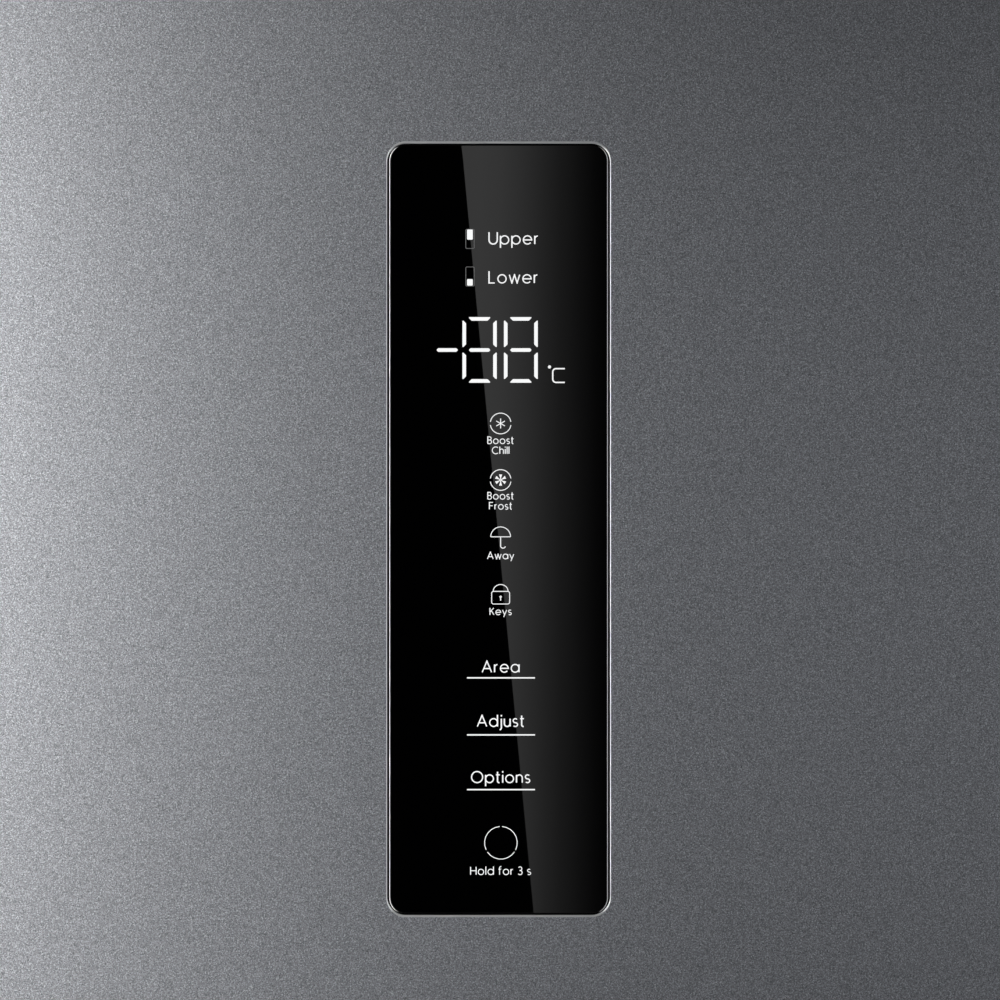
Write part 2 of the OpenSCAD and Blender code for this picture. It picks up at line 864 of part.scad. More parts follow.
// Front and back trims of the shelf at z; a flush pair ends level with the glass
module trim_pair(z, flush) {
  low = z + shelf_t / 2 - trim_h / 2;
  high = flush ? z + shelf_t : z + shelf_t / 2 + trim_h / 2;
  difference() {
    union() {
      block([-shelf_x, shelf_front - trim_lip, low], [shelf_x, shelf_front + trim_grip, high]);
      block(
        [-shelf_x, shelf_back - trim_grip, low],
        [shelf_x, shelf_back + trim_lip, flush ? high : high + 8]
      );
    }
    block([-shelf_x - cut, shelf_front, z], [shelf_x + cut, shelf_back, z + shelf_t]);
    block([-shelf_x - cut, shelf_back - trim_grip - cut, high], [shelf_x + cut, shelf_back, high + 9]);
  }
}

module shelf_trims() {
  reach = slider_w / 2 + slider_travel + 1;
  color("#c3c8cb") difference() {
    union() {
      for (z = fridge_shelves) trim_pair(z, z == crisper_cover_z);
    }
    block(
      [slot_x - reach, store_front - cut, slot_z - slider_h / 2 - rest_gap],
      [slot_x + reach, store_front + slot_d, slot_z + slider_h / 2 + rest_gap]
    );
  }
}

module humidity_slider() {
  color("#5d6468") union() {
    block(
      [slot_x - slider_w / 2, store_front - 1.5, slot_z - slider_h / 2],
      [slot_x + slider_w / 2, store_front + slot_d - rest_gap, slot_z + slider_h / 2]
    );
    block(
      [slot_x - 3, store_front - 4, slot_z - slider_h / 2],
      [slot_x + 3, store_front, slot_z + slider_h / 2]
    );
  }
}

// Open box with a thicker front and a finger dip in its top edge
module drawer(from, to) {
  front_t = 2 * bin_wall;
  dip_w = min(150, (to.x - from.x) / 2);
  mid = (from.x + to.x) / 2;
  difference() {
    slab_z(from, to, drawer_r);
    slab_z(
      [from.x + bin_wall, from.y + front_t, from.z + bin_wall],
      [to.x - bin_wall, to.y - bin_wall, to.z + cut], drawer_r - bin_wall
    );
    slab_y(
      [mid - dip_w / 2, from.y - cut, to.z - 22],
      [mid + dip_w / 2, from.y + front_t + cut, to.z + 22], 16
    );
  }
}

module chill_drawer() {
  z = chill_z + rest_gap;
  color("#dfe8ea")
    drawer([-fridge_drawer_x, store_front, z], [fridge_drawer_x, drawer_back, chill_z + chill_h - 2]);
}

module crisper_left() {
  z = fridge_floor + rest_gap;
  color("#dfe8ea")
    drawer([-fridge_drawer_x, store_front, z], [-2, drawer_back, fridge_floor + crisper_h - 2]);
}

module crisper_right() {
  z = fridge_floor + rest_gap;
  color("#dfe8ea")
    drawer([2, store_front, z], [fridge_drawer_x, drawer_back, fridge_floor + crisper_h - 2]);
}

module freezer_drawer(low, high, back) {
  color("#e3ecf0")
    drawer([-freezer_drawer_x, freezer_front, low + rest_gap], [freezer_drawer_x, back, high]);
}

module freezer_drawer_top() {
  freezer_drawer(freezer_upper_z + shelf_t, freezer_ceiling - 8, evaporator_front - 8);
}

module freezer_drawer_middle() {
  freezer_drawer(freezer_lower_z + shelf_t, freezer_upper_z - 8, evaporator_front - 8);
}

module freezer_drawer_bottom() {
  freezer_drawer(freezer_floor, freezer_lower_z - 8, step_y - 8);
}

module freezer_shelves() {
  color("#cfe3e0") union() {
    for (z = [freezer_lower_z, freezer_upper_z])
      block(
        [-freezer_shelf_x, freezer_front + 6, z],
        [freezer_shelf_x, freezer_shelf_back, z + shelf_t]
      );
  }
}

module evaporator_cover() {
  w = freezer_x - rest_gap;
  shroud_r = fan_r + 4;
  high = freezer_ceiling - rest_gap;
  color("#e9ecee") difference() {
    union() {
      slab_y([-w, evaporator_front, step_z], [w, evaporator_front + cover_t, high], tub_r);
      difference() {
        slab_y([-w, evaporator_front, step_z], [w, freezer_back, high], tub_r);
        slab_y(
          [cover_t - w, evaporator_front - cut, step_z + cover_t],
          [w - cover_t, freezer_back + cut, high - cover_t], tub_r - cover_t
        );
        block([-w, evaporator_front + 20, 0], [w, freezer_back + cut, step_z + tub_r]);
        block([-w, evaporator_front + 20, high - tub_r], [w, freezer_back + cut, high + cut]);
      }
      rod_y([0, evaporator_front, fan_z], shroud_r + 2, 18);
    }
    difference() {
      rod_y([0, evaporator_front - cut, fan_z], shroud_r, 18 + 2 * cut);
      for (angle = [0, 60, 120])
        translate([0, evaporator_front, fan_z]) rotate([0, angle, 0])
          block([-shroud_r - 1, 0, -1], [shroud_r + 1, 2, 1]);
      rod_y([0, evaporator_front, fan_z], 12, 2);
    }
    for (x = [-1, 1], z = [0 : 3])
      slab_y(
        [x * 150 - 50, evaporator_front - cut, step_z + 24 + z * 12],
        [x * 150 + 50, evaporator_front + cover_t + cut, step_z + 30 + z * 12], 2.5
      );
  }
}

// Half ring of tube whose straight ends point to -X, in the plane given by spin about X
module tube_bend(at, spin, side, bend_r) {
  translate(at) rotate([spin, 0, 0]) rotate([0, 0, side > 0 ? -90 : 90])
    rotate_extrude(angle = 180) translate([bend_r, 0]) circle(pipe_r);
}

// Finned coil: one tube runs to and fro through the fins, in two banks
module evaporator() {
  w = freezer_x - 46;
  front = evaporator_front + 12;
  back = freezer_back - 6;
  low = step_z + 22;
  high = fan_z - fan_r - 16;
  fins = 18;
  rows = 4;
  reach = w + 12;
  bank = [front + 11, back - 11];
  bank_mid = (bank[0] + bank[1]) / 2;
  pitch = (high - low) / rows;
  color("#c7cbcd") union() {
    for (i = [0 : fins])
      block([-w + i * 2 * w / fins - 0.5, front, low], [-w + i * 2 * w / fins + 0.5, back, high]);
    for (side = [-1, 1])
      block([side * (w + 4) - 1, front, low - 4], [side * (w + 4) + 1, freezer_back, high + 4]);
    for (row = [0 : rows - 1], y = bank)
      rod_x([-reach, y, low + (row + 0.5) * pitch], pipe_r, 2 * reach);
    for (row = [0 : rows - 1])
      tube_bend([reach, bank_mid, low + (row + 0.5) * pitch], 0, 1, (bank[1] - bank[0]) / 2);
    for (row = [0 : rows - 2])
      tube_bend([-reach, bank[1 - row % 2], low + (row + 1) * pitch], 90, -1, pitch / 2);
  }
}

module fan_motor() {
  shaft_front = evaporator_front + 6;
  motor_front = evaporator_front + 22;
  color("#3a3d40") union() {
    rod_y([0, motor_front, fan_z], 24, 24);
    rod_y([0, motor_front + 12, fan_z], 14, freezer_back - motor_front - 12);
    rod_y([0, shaft_front, fan_z], shaft_r, motor_front - shaft_front + 6);
  }
}

module evaporator_fan() {
  front = evaporator_front + 5;
  depth = 12;
  blades = 7;
  color("#4c5054") translate([0, front, fan_z]) difference() {
    union() {
      rod_y([0, 0, 0], fan_hub_r, depth);
      intersection() {
        rod_y([0, 0, 0], fan_r, depth);
        for (i = [0 : blades - 1])
          rotate([0, i * 360 / blades, 0]) translate([0, depth / 2, 0])
            rotate([34, 0, 0]) block([fan_hub_r - 3, -14, -1], [fan_r + 2, 14, 1]);
      }
    }
    rod_y([0, 1, 0], shaft_r + running_gap, depth);
  }
}

// Levelling foot with its wrench flats and stud
module foot(side) {
  color("#1f2122") translate([side * foot_x, foot_y, 0]) union() {
    cylinder(r = foot_r, h = 7);
    translate([0, 0, 6]) cylinder(r = stud_r + 7, h = 10, $fn = 6);
    cylinder(r = stud_r, h = pan_z - 2);
  }
}

module foot_left() {
  foot(-1);
}

module foot_right() {
  foot(1);
}

module roller(side) {
  color("#2c2e30") translate([side * foot_x, roller_y, roller_r]) difference() {
    rod_x([-roller_w / 2, 0, 0], roller_r, roller_w);
    rod_x([-roller_w / 2 - cut, 0, 0], axle_r + running_gap, roller_w + 2 * cut);
    for (end = [-1, 1])
      difference() {
        rod_x([end * roller_w / 2 - 3, 0, 0], roller_r - 3, 6);
        rod_x([end * roller_w / 2 - 4, 0, 0], axle_r + 3, 8);
      }
  }
}

module roller_left() {
  roller(-1);
}

module roller_right() {
  roller(1);
}

module display_opening() {
  slab_y(
    [-opening_w / 2, door_front - cut, display_z - opening_h / 2],
    [opening_w / 2, housing_front + cut, display_z + opening_h / 2], opening_r
  );
}

module door_skin(low, high) {
  translate([0, 0, low]) linear_extrude(high - low) difference() {
    door_section(0, door_back);
    door_section(skin_t, door_back + cut);
  }
}

// Ridge and dykes of the fridge door, s inside their outer face
module fridge_door_ridges(s) {
  y0 = door_back - door_liner_t - (s > 0 ? 0 : -door_liner_t / 2);
  difference() {
    slab_y(
      [s - fridge_ridge_x, y0, fridge_ridge_z0 + s],
      [fridge_ridge_x - s, door_back + fridge_ridge_h - s, fridge_ridge_z1 - s], 10 - s
    );
    slab_y(
      [-bin_x - s, y0 - cut, fridge_ridge_z0 + 20 - s],
      [bin_x + s, door_back + fridge_ridge_h + cut, fridge_ridge_z1 - 20 + s], 10 + s
    );
  }
  for (side = [-1, 1])
    block(
      [side > 0 ? bin_x + s : -bin_x - dyke_w + s, y0, fridge_ridge_z0 + 12 + s],
      [side > 0 ? bin_x + dyke_w - s : -bin_x - s, door_back + dyke_h - s, fridge_ridge_z1 - 12 - s]
    );
}

module freezer_door_ridges(s) {
  y0 = door_back - door_liner_t - (s > 0 ? 0 : -door_liner_t / 2);
  w = freezer_ridge_w;
  difference() {
    slab_y(
      [s - freezer_ridge_x, y0, freezer_ridge_z0 + s],
      [freezer_ridge_x - s, door_back + freezer_ridge_h - s, freezer_ridge_z1 - s], 10 - s
    );
    slab_y(
      [w - freezer_ridge_x - s, y0 - cut, freezer_ridge_z0 + w - s],
      [freezer_ridge_x - w + s, door_back + freezer_ridge_h + cut, freezer_ridge_z1 - w + s], 10 + s
    );
  }
}

module door_core(low, high) {
  translate([0, 0, low]) linear_extrude(high - low) door_section(skin_t, door_back - door_liner_t);
}

module door_liner_sheet(low, high) {
  w = half_w - skin_t;
  block([-w, door_back - door_liner_t, low], [w, door_back, high]);
}

module seal(low, high) {
  y1 = cab_front - rest_gap;
  difference() {
    slab_y([-seal_x, door_back, low + seal_edge], [seal_x, y1, high - seal_edge], 6);
    slab_y(
      [seal_w - seal_x, door_back - cut, low + seal_edge + seal_w],
      [seal_x - seal_w, y1 + cut, high - seal_edge - seal_w], 4
    );
  }
}

module cap_block(low, high) {
  translate([0, 0, low]) linear_extrude(high - low) door_section(skin_t, door_back);
}

module grip_recess(low, high) {
  y = door_front + skin_t + grip_lip;
  slab_z([-grip_l / 2, y, low], [grip_l / 2, y + grip_d, high], 8);
}

module fridge_door_skin() {
  color("#74797f") difference() {
    door_skin(fridge_door_z, fridge_door_top);
    display_opening();
  }
}

module fridge_door_foam() {
  color("#e6d9a8") difference() {
    union() {
      door_core(fridge_door_z + grip_cap_h, fridge_door_top - cap_h);
      fridge_door_ridges(door_liner_t);
    }
    block(
      [-housing_w / 2, door_front, display_z - housing_h / 2],
      [housing_w / 2, housing_back, display_z + housing_h / 2]
    );
  }
}

module fridge_door_liner() {
  color("#f1f3f4") difference() {
    union() {
      door_liner_sheet(fridge_door_z + grip_cap_h, fridge_door_top - cap_h);
      fridge_door_ridges(0);
    }
    fridge_door_ridges(door_liner_t);
  }
}

module fridge_door_caps() {
  bore_r = pin_r + running_gap;
  bore_d = pin_grip + 2;
  color("#4a4e52") union() {
    difference() {
      cap_block(fridge_door_top - cap_h, fridge_door_top);
      post([hinge_x, hinge_y, fridge_door_top - bore_d], bore_r, bore_d + cut);
    }
    difference() {
      cap_block(fridge_door_z, fridge_door_z + grip_cap_h);
      post([hinge_x, hinge_y, fridge_door_z - cut], bore_r, bore_d + cut);
      grip_recess(fridge_door_z - cut, fridge_door_z + grip_h);
    }
  }
}

module fridge_door_gasket() {
  color("#d7dadb") seal(fridge_door_z, fridge_door_top);
}

module freezer_door_skin() {
  color("#74797f") door_skin(freezer_door_z, freezer_door_top);
}

module freezer_door_foam() {
  color("#e6d9a8") union() {
    door_core(freezer_door_z + cap_h, freezer_door_top - grip_cap_h);
    freezer_door_ridges(door_liner_t);
  }
}

module freezer_door_liner() {
  color("#f1f3f4") difference() {
    union() {
      door_liner_sheet(freezer_door_z + cap_h, freezer_door_top - grip_cap_h);
      freezer_door_ridges(0);
    }
    freezer_door_ridges(door_liner_t);
  }
}

module freezer_door_caps() {
  bore_r = pin_r + running_gap;
  bore_d = pin_grip + 2;
  color("#4a4e52") union() {
    difference() {
      cap_block(freezer_door_z, freezer_door_z + cap_h);
      post([hinge_x, hinge_y, freezer_door_z - cut], bore_r, bore_d + cut);
    }
    difference() {
      cap_block(freezer_door_top - grip_cap_h, freezer_door_top);
      post([hinge_x, hinge_y, freezer_door_top - bore_d], bore_r, bore_d + cut);
      grip_recess(freezer_door_top - grip_h, freezer_door_top + cut);
    }
  }
}

module freezer_door_gasket() {
  color("#d7dadb") seal(freezer_door_z, freezer_door_top);
}

// Open bin between the dykes, with a lower front
module door_bin(z, h) {
  difference() {
    slab_z([-bin_x, door_back, z], [bin_x, bin_back, z + h], 8);
    slab_z(
      [bin_wall - bin_x, door_back + bin_wall, z + bin_wall],
      [bin_x - bin_wall, bin_back - bin_wall, z + h + cut], 6
    );
  }
}

module door_bins() {
  color("#dfe8ea") union() {
    door_bin(bottle_bin_z, bottle_bin_h);
    door_bin(middle_bin_z, middle_bin_h);
  }
}

module dairy_bin() {
  color("#dfe8ea") difference() {
    door_bin(dairy_bin_z, dairy_bin_h);
    rod_x([-bin_x - cut, lid_axis_y, lid_axis_z], lid_pin_r + running_gap, 2 * bin_x + 2 * cut);
    block(
      [-bin_x - cut, bin_back - bin_wall - 12, dairy_bin_z + dairy_bin_h - 10],
      [bin_x + cut, bin_back + cut, dairy_bin_z + dairy_bin_h + cut]
    );
  }
}

// Flap over the dairy bin, on two pins in the bin's cheeks
module dairy_lid() {
  w = bin_x - bin_wall - 5;
  top = lid_axis_z + 3;
  color("#e8eef0") union() {
    block([-w, lid_axis_y, top - lid_t], [w, bin_back - bin_wall - 2, top]);
    block([-w, bin_back - bin_wall - 6, top - 12], [w, bin_back - bin_wall - 2, top]);
    rod_x([-w, lid_axis_y, lid_axis_z], 4, 2 * w);
    rod_x([0.5 - bin_x, lid_axis_y, lid_axis_z], lid_pin_r, 2 * bin_x - 1);
  }
}

module display_glass() {
  front = -overall_d / 2;
  color("#050506")
    slab_y(
      [-glass_w / 2, front, display_z - glass_h / 2],
      [glass_w / 2, front + glass_t, display_z + glass_h / 2], glass_r
    );
}

// Rounded frame as wide as grow beyond the glass
module display_outline(y0, y1, grow) {
  slab_y(
    [-glass_w / 2 - grow, y0, display_z - glass_h / 2 - grow],
    [glass_w / 2 + grow, y1, display_z + glass_h / 2 + grow], glass_r + grow
  );
}

// Thin frame round the glass: two raised lines, the groove between them and a seat behind the glass
module display_bezel() {
  seat_t = 2;
  seat_w = 3;
  groove_d = 0.4;
  front = door_front - display_proud / 2;
  glass_back = glass_t - overall_d / 2;
  color("#b8bcbf") difference() {
    display_outline(front, glass_back + seat_t, bezel_w);
    difference() {
      display_outline(front - cut, front + groove_d, bezel_w - bezel_lip);
      display_outline(front - 2 * cut, front + groove_d + cut, bezel_lip);
    }
    display_outline(front - cut, glass_back, 0);
    slab_y(
      [seat_w - glass_w / 2, front - cut, display_z - glass_h / 2 + seat_w],
      [glass_w / 2 - seat_w, glass_back + seat_t + cut, display_z + glass_h / 2 - seat_w], glass_r
    );
  }
}

// Housing cast into the door, its circuit board and the light guide behind the digits
module display_board() {
  wall = housing_wall;
  seat_back = glass_t - overall_d / 2 + 2;
  board_y = seat_back + 4;
  color("#e9ebec") union() {
    difference() {
      block(
        [-housing_w / 2, housing_front, display_z - housing_h / 2],
        [housing_w / 2, housing_back, display_z + housing_h / 2]
      );
      block(
        [wall - housing_w / 2, seat_back, display_z - housing_h / 2 + wall],
        [housing_w / 2 - wall, housing_back - wall, display_z + housing_h / 2 - wall]
      );
      slab_y(
        [-opening_w / 2, housing_front - cut, display_z - opening_h / 2],
        [opening_w / 2, seat_back + cut, display_z + opening_h / 2], opening_r
      );
    }
    block(
      [-housing_w / 2 + wall / 2, board_y, display_z - housing_h / 2 + wall / 2],
      [housing_w / 2 - wall / 2, board_y + 1.6, display_z + housing_h / 2 - wall / 2]
    );
    slab_y([-18, seat_back - 2, display_z + 30], [20, board_y + 1, display_z + 64], 3);
  }
}

cabinet_shell();
back_panel();
cabinet_foam();
fridge_liner();
freezer_liner();
centre_rail();
base_frame();
plinth_grille();
top_hinge();
middle_hinge();
bottom_hinge();
hinge_screws();
hinge_covers();
compressor();
compressor_mounts();
inverter_box();
refrigerant_pipes();
drip_tray();
rear_cover();
mains_inlet();
wall_spacers();
air_duct_cover();
ceiling_lamp();
shelf_upper();
shelf_middle();
shelf_lower();
crisper_cover();
shelf_trims();
evaporator_cover();
evaporator();
fan_motor();
freezer_shelves();
foot_left();
foot_right();
roller_left();
roller_right();
chill_drawer();
crisper_left();
crisper_right();
humidity_slider();
freezer_drawer_top();
freezer_drawer_middle();
freezer_drawer_bottom();
evaporator_fan();
fridge_door_skin();
fridge_door_foam();
fridge_door_liner();
fridge_door_caps();
fridge_door_gasket();
dairy_bin();
dairy_lid();
door_bins();
display_glass();
display_bezel();
display_board();
freezer_door_skin();
freezer_door_foam();
freezer_door_liner();
freezer_door_caps();
freezer_door_gasket();
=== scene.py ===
"""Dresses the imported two-door refrigerator for its pictures.

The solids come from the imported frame, in metres: the doors face -Y, the hinges are on the +X side and
the floor is at Z = 0. Sizes of pieces are written in millimetres and turned into metres by MM.
"""

import json
import logging
import math
from collections.abc import Callable, Iterator, Sequence
from contextlib import contextmanager
from dataclasses import dataclass, field
from enum import Enum

import bmesh
import bpy
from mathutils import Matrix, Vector


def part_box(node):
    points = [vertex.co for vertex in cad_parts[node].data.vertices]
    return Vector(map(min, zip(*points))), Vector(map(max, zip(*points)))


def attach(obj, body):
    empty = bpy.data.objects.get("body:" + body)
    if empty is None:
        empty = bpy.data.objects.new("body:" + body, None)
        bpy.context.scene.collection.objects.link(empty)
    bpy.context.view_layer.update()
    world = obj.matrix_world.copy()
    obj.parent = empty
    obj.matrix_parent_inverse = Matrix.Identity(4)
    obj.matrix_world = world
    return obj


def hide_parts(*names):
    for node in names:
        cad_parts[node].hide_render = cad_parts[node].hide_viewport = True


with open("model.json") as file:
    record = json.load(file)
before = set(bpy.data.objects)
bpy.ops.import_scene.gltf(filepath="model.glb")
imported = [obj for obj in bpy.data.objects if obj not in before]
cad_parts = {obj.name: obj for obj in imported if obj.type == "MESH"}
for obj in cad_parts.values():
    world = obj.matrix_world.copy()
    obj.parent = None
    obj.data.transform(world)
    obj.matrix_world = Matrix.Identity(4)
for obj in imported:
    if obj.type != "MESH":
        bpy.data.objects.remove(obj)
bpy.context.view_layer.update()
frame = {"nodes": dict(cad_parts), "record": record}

LOG = logging.getLogger("refrigerator")
RECORD = frame["record"]
BODY_OF = {node: body for body, nodes in RECORD["behaviour"]["bodies"].items() for node in nodes}
SLOT_OF = {part["node"]: part["material_slot"] for part in RECORD["subparts"]}

Piece = bpy.types.Object
Socket = bpy.types.NodeSocket
Edge = bmesh.types.BMEdge
Face = bmesh.types.BMFace
Point = tuple[float, float]
Stroke = list[Point]
Colour = tuple[float, float, float]
Stop = tuple[float, Colour]

MM = 0.001
# Two depths nearer than SAME are one plane, and points of a CAD mesh nearer than MERGE are one point.
SAME = 0.02 * MM
MERGE = 0.002 * MM
# An edge that turns by more than SHARP radians is sharp, and one that turns by less than FLAT is no edge.
SHARP = 0.6
FLAT = math.radians(0.4)
# A direction runs along an axis where its share along it is over this.
ALONG = 0.9
# Most of a noise's values lie between these, and its slow waves are this many to the metre.
NOISE = (0.3, 0.7)
SLOW = 9.0
BLACK: Colour = (0.0, 0.0, 0.0)
WHITE: Colour = (1.0, 1.0, 1.0)


def lit(colour: Colour, factor: float) -> Colour:
    """Returns a light's colour times a factor, with no upper end."""
    return tuple(c * factor for c in colour)


def shade(colour: Colour, factor: float) -> Colour:
    """Returns a surface's colour times a factor, at most white."""
    return tuple(min(1.0, c) for c in lit(colour, factor))


def linear(level: float) -> float:
    """Returns the linear value of a display level from 0 to 255, on a screen's usual curve."""
    share = level / 255
    return share / 12.92 if share <= 0.04045 else ((share + 0.055) / 1.055) ** 2.4


class Graph:
    """A material's node tree, with short calls to add and join nodes."""

    def __init__(self, name: str) -> None:
        """Starts a material with a shader, an output and the object's own coordinates.

        Args:
            name: Name of the material.
        """
        self.material = bpy.data.materials.new(name)
        self.material.use_nodes = True
        self.tree = self.material.node_tree
        self.tree.nodes.clear()
        self.shader = self.add("ShaderNodeBsdfPrincipled")
        output = self.add("ShaderNodeOutputMaterial")
        self.place = self.add("ShaderNodeTexCoord").outputs["Object"]
        self.join(self.shader.outputs["BSDF"], output.inputs["Surface"])

    def join(self, out: Socket, into: Socket) -> None:
        """Links an output to an input."""
        self.tree.links.new(out, into)

    def add(self, kind: str, **values: object) -> bpy.types.Node:
        """Adds a node of Blender's kind, sets its inputs by name and returns it."""
        return self.set_inputs(self.tree.nodes.new(kind), **values)

    def fix(self, **values: object) -> None:
        """Sets constants on the shader itself."""
        self.set_inputs(self.shader, **values)

    @staticmethod
    def set_inputs(node: bpy.types.Node, **values: object) -> bpy.types.Node:
        """Sets a node's inputs; an underscore in a name stands for a space.

        Args:
            node: The node.
            values: Values of its inputs by name.

        Returns:
            The node.
        """
        for name, value in values.items():
            node.inputs[name.replace("_", " ")].default_value = value
        return node

    def pattern(self, kind: str, output: str, place: Socket | None = None, **values: object) -> Socket:
        """Adds a node that turns coordinates into a pattern.

        Args:
            kind: Blender's name for the kind of node.
            output: Name of the output that is wanted.
            place: The coordinates, which are the object's own if none are given.
            values: Values of its other inputs by name.

        Returns:
            The output.
        """
        node = self.add(kind, **values)
        self.join(self.place if place is None else place, node.inputs["Vector"])
        return node.outputs[output]

    def noise(self, scale: float, detail: float = 2.0, stretch: Sequence[float] = (1, 1, 1)) -> Socket:
        """Returns noise that is fixed to the object.

        Args:
            scale: Grains to the metre.
            detail: Octaves.
            stretch: Scale along each axis, as a multiple of scale.

        Returns:
            The noise's value.
        """
        place = self.pattern("ShaderNodeMapping", "Vector", Scale=stretch)
        return self.pattern("ShaderNodeTexNoise", "Fac", place, Scale=scale, Detail=detail)

    def cells(self, scale: float, output: str = "Distance") -> Socket:
        """Returns the Distance or Color of a pattern of cells, scale to the metre."""
        return self.pattern("ShaderNodeTexVoronoi", output, Scale=scale)

    def axis(self, name: str) -> Socket:
        """Returns the object's coordinate along X, Y or Z, in metres."""
        return self.pattern("ShaderNodeSeparateXYZ", name)

    def grey(self, colour: Socket) -> Socket:
        """Returns the brightness of a colour.

        Args:
            colour: The colour.

        Returns:
            Its brightness.
        """
        node = self.add("ShaderNodeRGBToBW")
        self.join(colour, node.inputs["Color"])
        return node.outputs["Val"]

    def maths(self, operation: str, first: Socket, second: Socket | float | None = None) -> Socket:
        """Returns the outcome of a calculation.

        Args:
            operation: Blender's name for it.
            first: Its first value.
            second: Its second value, if it has one.

        Returns:
            The outcome.
        """
        node = self.add("ShaderNodeMath")
        node.operation = operation
        self.join(first, node.inputs[0])
        if isinstance(second, float):
            node.inputs[1].default_value = second
        elif second is not None:
            self.join(second, node.inputs[1])
        return node.outputs[0]

    def spread(self, source: Socket, span: Point, to: Point = (0.0, 1.0)) -> Socket:
        """Returns a value mapped from one span to another, held at its ends.

        Args:
            source: The value.
            span: Its two ends.
            to: What they become.

        Returns:
            The mapped value.
        """
        node = self.add("ShaderNodeMapRange", From_Min=span[0], From_Max=span[1], To_Min=to[0], To_Max=to[1])
        self.join(source, node.inputs["Value"])
        return node.outputs["Result"]

    def paint(self, source: Socket, stops: Sequence[Stop], socket: str = "Base Color") -> None:
        """Gives the shader a colour that runs through stops as a value rises.

        Args:
            source: The value, from 0 to 1.
            stops: Places and their colours, in rising order.
            socket: The shader's input.
        """
        node = self.add("ShaderNodeValToRGB")
        keys = node.color_ramp.elements
        while len(keys) < len(stops):
            keys.new(1.0)
        for key, (position, colour) in zip(keys, stops):
            key.position = position
            key.color = (*colour, 1.0)
        self.join(source, node.inputs["Fac"])
        self.join(node.outputs["Color"], self.shader.inputs[socket])

    def tone(self, source: Socket, colour: Colour, swing: float) -> None:
        """Colours the surface, lighter and darker by swing as the noise goes."""
        self.paint(source, [(NOISE[0], shade(colour, 1 - swing)), (NOISE[1], shade(colour, 1 + swing))])

    def vary(self, source: Socket, mean: float, swing: float, socket: str) -> None:
        """Sets an input of the shader to a mean that follows the noise, swing either way."""
        self.join(self.spread(source, NOISE, (mean - swing, mean + swing)), self.shader.inputs[socket])

    def bump(self, source: Socket, depth: float) -> None:
        """Raises the surface by a value.

        Args:
            source: The height, from 0 to 1.
            depth: Greatest height in metres.
        """
        node = self.add("ShaderNodeBump", Strength=1.0, Distance=depth)
        self.join(source, node.inputs["Height"])
        self.join(node.outputs["Normal"], self.shader.inputs["Normal"])


@dataclass(frozen=True)
class Finish:
    """A surface with an even colour, a fine grain and a wandering polish.

    Attributes:
        colour: Linear base colour.
        rough: Mean roughness.
        metal: Metallic share.
        grain: Grains to the metre.
        depth: Depth of the grain in metres.
        swing: How far the colour goes either way.
        wander: How far the polish goes either way.
    """

    colour: Colour
    rough: float = 0.5
    metal: float = 0.0
    grain: float = 900.0
    depth: float = 0.00002
    swing: float = 0.05
    wander: float = 0.012

    def make(self, name: str) -> bpy.types.Material:
        """Returns the finish as a material.

        Args:
            name: Name of the material.

        Returns:
            The material.
        """
        g = Graph(name)
        fine = g.noise(self.grain)
        g.tone(fine, self.colour, self.swing)
        g.vary(g.noise(SLOW), self.rough, self.wander, "Roughness")
        g.bump(fine, self.depth)
        g.fix(Metallic=self.metal)
        self.add_to(g)
        return g.material

    def add_to(self, g: Graph) -> None:
        """Adds what one kind of finish has beyond the rest; a plain finish has nothing."""


@dataclass(frozen=True)
class DoorSteel(Finish):
    """Dark steel with the fine sparkle of its textured coat.

    Attributes:
        sparkle: Contrast of the single grains.
        finer: How much finer the single grains are than the noise under them.
        span: Least and greatest of the two together.
        tones: Shares of the sparkle, from the darkest grain to the lightest.
    """

    sparkle: float = 0.66
    finer: float = 1.6
    span: Point = (0.4, 1.6)
    tones: tuple[Point, ...] = ((0.0, -1.0), (0.68, 0.3), (1.0, 2.0))

    def add_to(self, g: Graph) -> None:
        """Lays coarse and fine grains over each other.

        Args:
            g: The material's graph.
        """
        grains = g.grey(g.cells(self.grain * self.finer, "Color"))
        both = g.maths("ADD", g.noise(self.grain, 1.0), grains)
        stops = [(place, shade(self.colour, 1 + self.sparkle * share)) for place, share in self.tones]
        g.paint(g.spread(both, self.span), stops)


@dataclass(frozen=True)
class ZincSheet(Finish):
    """Hot-dipped sheet with its broken pattern of crystals.

    Attributes:
        crystals: Crystals to the metre.
        contrast: How far their tones go either way.
    """

    crystals: float = 110.0
    contrast: float = 0.09

    def add_to(self, g: Graph) -> None:
        """Gives each crystal its own tone."""
        dark, light = shade(self.colour, 1 - self.contrast), shade(self.colour, 1 + self.contrast)
        g.paint(g.grey(g.cells(self.crystals, "Color")), [(0.1, dark), (0.9, light)])


@dataclass(frozen=True)
class Brushed(Finish):
    """Rolled or drawn metal whose grain runs along X.

    Attributes:
        drawn: Scale of the grain along X, as a share of that across it.
    """

    drawn: float = 0.04

    def add_to(self, g: Graph) -> None:
        """Draws the grain out along X.

        Args:
            g: The material's graph.
        """
        lines = g.noise(self.grain, 2.0, (self.drawn, 1.0, 1.0))
        g.tone(lines, self.colour, self.swing)
        g.bump(lines, self.depth)


@dataclass(frozen=True)
class Foam(Finish):
    """Rigid foam with open cells on its cut face.

    Attributes:
        cells: Cells to the metre.
        hollow: Their depth in metres.
    """

    cells: float = 700.0
    hollow: float = 0.0006

    def add_to(self, g: Graph) -> None:
        """Sinks the cells."""
        g.bump(g.cells(self.cells), self.hollow)


